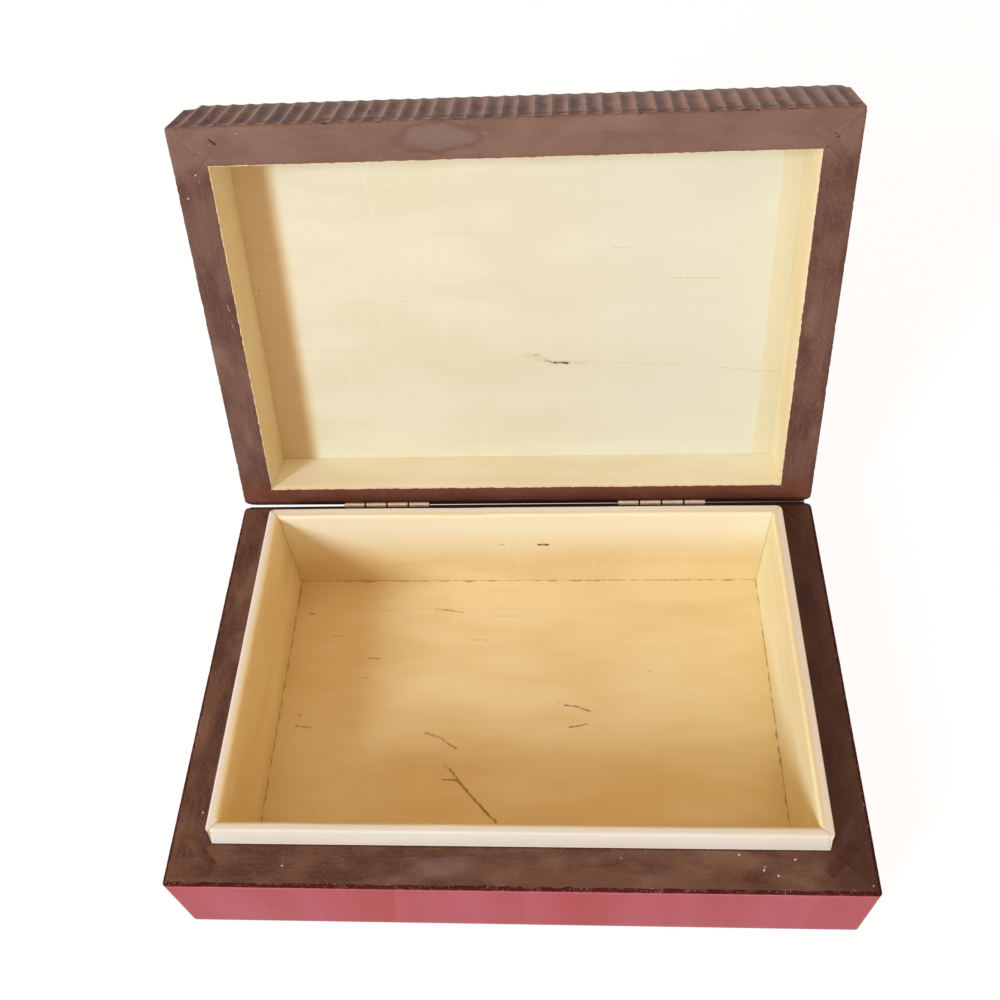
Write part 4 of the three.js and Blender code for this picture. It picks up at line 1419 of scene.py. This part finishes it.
def make_materials():
    """Every material, by name."""
    return {
        "lip": lip_wood(),
        "liner": pale_wood("liner_wood", TRAY_SHADES),
        # The liner's back strip: a darker copy of the tray's wood as painted shade, with painted light at its
        # top
        "liner_back": pale_wood("liner_back_painted_shade_wood", TRAY_BACK_PAINTED_SHADE, BACK_MARKS, "xz", back_strip_painted_shade_and_light),
        # The liner's right strip: a paler copy of the tray's wood, as painted light
        "liner_right": pale_wood("liner_right_painted_light_wood", TRAY_RIGHT_PAINTED_LIGHT),
        "floor": pale_wood("floor_wood", TRAY_SHADES, FLOOR_MARKS, "xy", aged_floor),
        "panel": pale_wood("lid_panel_wood", PANEL_SHADES, PANEL_MARKS, "xy", panel_painted_light_and_shadow),
        "inner": pale_wood("lid_inner_wood", INNER_SHADES),
        # The lid's back wall inside: a paler copy of the inner wood, as painted light
        "inner_back": pale_wood("lid_back_inner_painted_light_wood", INNER_BACK_PAINTED_LIGHT),
        "rim": base_rim_material(),
        "lid_rim": lid_rim_material(),
        "flute": flute_material(),
        "lacquer": lacquer_material("red_lacquer_wall", WALL_PATCHES, WALL_STREAKS, True),
        "top": lacquer_material("red_lacquer_top", TOP_PATCHES, TOP_STREAKS, False),
        "base_tongue": tongue_material("base_tongue_stain", False),
        "lid_tongue": tongue_material("lid_tongue_stain", True),
        "brass": brass_material(),
        "nail": nail_material(),
    }


# Stage, camera and lights


def make_camera():
    """A camera where the photograph was taken from."""
    data = bpy.data.cameras.new("photo_camera")
    data.sensor_width = CAMERA_SENSOR
    data.lens = CAMERA_LENS
    data.shift_y = CAMERA_SHIFT_Y
    data.clip_start = 0.01
    data.clip_end = 20
    made = linked("photo_camera", data)
    turn = Matrix.Rotation(math.radians(CAMERA_YAW), 4, "Z")
    turn = turn @ Matrix.Rotation(math.radians(CAMERA_PITCH), 4, "X")
    turn = turn @ Matrix.Rotation(math.radians(CAMERA_ROLL), 4, "Y")
    turn = turn @ Matrix.Rotation(math.pi / 2, 4, "X")
    made.matrix_world = Matrix.Translation(Vector(CAMERA_PLACE) * MM) @ turn
    bpy.context.scene.camera = made


FLOOR_HALF = 3000
FLOOR_TOP = -0.05
FLOOR_GLOW = 0.88
WORLD_LIGHT = (0.54, 0.31, 0.14)


def seen_rays(tree):
    """1 for what the camera sees, straight or in a gloss or glass, 0 for the light that falls on things."""
    path = tree.nodes.new("ShaderNodeLightPath")
    total = path.outputs["Is Camera Ray"]
    for name in ("Is Glossy Ray", "Is Transmission Ray"):
        add = tree.nodes.new("ShaderNodeMath")
        add.operation = "MAXIMUM"
        tree.links.new(total, add.inputs[0])
        tree.links.new(path.outputs[name], add.inputs[1])
        total = add.outputs[0]
    return total


def mixed_shaders(tree, first, second, share):
    """A mix of two shaders by a share."""
    mix = tree.nodes.new("ShaderNodeMixShader")
    for socket, output in zip(mix.inputs, (share, first.outputs[0], second.outputs[0])):
        tree.links.new(output, socket)
    return mix.outputs[0]


def make_floor_stage():
    """A pale floor that shows white and keeps the box's shadow."""
    corners = [(x * FLOOR_HALF, y * FLOOR_HALF, FLOOR_TOP) for x, y in ((-1, -1), (1, -1), (1, 1), (-1, 1))]
    made = object_of("stage_floor", corners, [(0, 1, 2, 3)])
    material = bpy.data.materials.new("stage_floor")
    material.use_nodes = True
    tree = material.node_tree
    tree.nodes.clear()
    paper = tree.nodes.new("ShaderNodeBsdfDiffuse")
    paper.inputs["Color"].default_value = (0.9, 0.9, 0.9, 1)
    glow = tree.nodes.new("ShaderNodeEmission")
    glow.inputs["Strength"].default_value = 1.06
    weight = tree.nodes.new("ShaderNodeMath")
    weight.operation = "MULTIPLY"
    weight.inputs[1].default_value = FLOOR_GLOW
    tree.links.new(seen_rays(tree), weight.inputs[0])
    output = tree.nodes.new("ShaderNodeOutputMaterial")
    tree.links.new(mixed_shaders(tree, paper, glow, weight.outputs[0]), output.inputs[0])
    made.data.materials.append(material)


def make_world():
    """A white surround that lights the box softly and warmly."""
    world = bpy.data.worlds.new("studio")
    bpy.context.scene.world = world
    world.use_nodes = True
    tree = world.node_tree
    tree.nodes.clear()
    light = tree.nodes.new("ShaderNodeBackground")
    light.inputs["Color"].default_value = (*WORLD_LIGHT, 1)
    white = tree.nodes.new("ShaderNodeBackground")
    output = tree.nodes.new("ShaderNodeOutputWorld")
    tree.links.new(mixed_shaders(tree, light, white, seen_rays(tree)), output.inputs[0])


# Each lamp's name, direction from the box, distance, width and height in metres, power and tint
LAMPS = [
    ("key_lamp", (-0.54, -0.69, 0.48), 2.8, (0.42, 1.05), 61, (0.77, 0.9, 1.0)),
    ("second_lamp", (0.24, -0.92, 0.45), 1.6, (0.3, 0.5), 2, (1.0, 0.93, 0.82)),
    ("top_lamp", (-0.1, -0.25, 0.96), 1.4, (0.9, 0.9), 2, (1.0, 0.9, 0.74)),
]


def make_lamp(name, direction, distance, size, power, tint):
    """A soft lamp that faces the box from a direction."""
    data = bpy.data.lights.new(name, "AREA")
    data.shape = "RECTANGLE"
    data.size, data.size_y = size
    data.energy = power
    data.color = tint
    made = linked(name, data)
    way = Vector(direction).normalized()
    facing = way.to_track_quat("Z", "Y").to_matrix().to_4x4()
    made.matrix_world = Matrix.Translation(way * distance + Vector((0, 0, 0.06))) @ facing


# The whole box


def make_box():
    """Every piece of the box."""
    use = make_materials()
    seed = 10
    for side in OUTWARD:
        seed += 1
        # A side with its own copy of the wood, for painted light and shade, takes that copy
        lining = use.get("liner_" + side, use["liner"])
        inside = use.get("inner_" + side, use["inner"])
        make_base_wall(side, seed, (use["lacquer"], use["rim"], use["inner"]))
        make_liner(side, seed + 100, (use["lip"], lining))
        make_lid_wall(side, seed + 200, (use["flute"], use["lid_rim"], inside))
    for name in CORNERS:
        seed += 1
        make_spline("base", name, FLOOR, BASE_HEIGHT, (WALL, WALL), seed, use["base_tongue"])
        make_spline("lid", name, 0, LID_LEDGE - 0.5, LID_THICKNESSES, seed + 50, use["lid_tongue"])
    make_panel("base", "bottom_panel", WALL, WALL, (0, FLOOR), 0.25, 40, [use["floor"]])
    both = [use["panel"], use["top"]]
    heights = (LID_DEPTH, LID_PANEL_TOP)
    make_panel("lid", "lid_top_panel", LID_END_WALL, LID_FRONT_WALL, heights, 0.4, 60, both)
    for side in HINGES:
        make_hinge(side, use["brass"], use["nail"])


bpy.context.scene.view_settings.view_transform = "Standard"
make_box()
make_camera()
make_floor_stage()
make_world()
for lamp in LAMPS:
    make_lamp(*lamp)
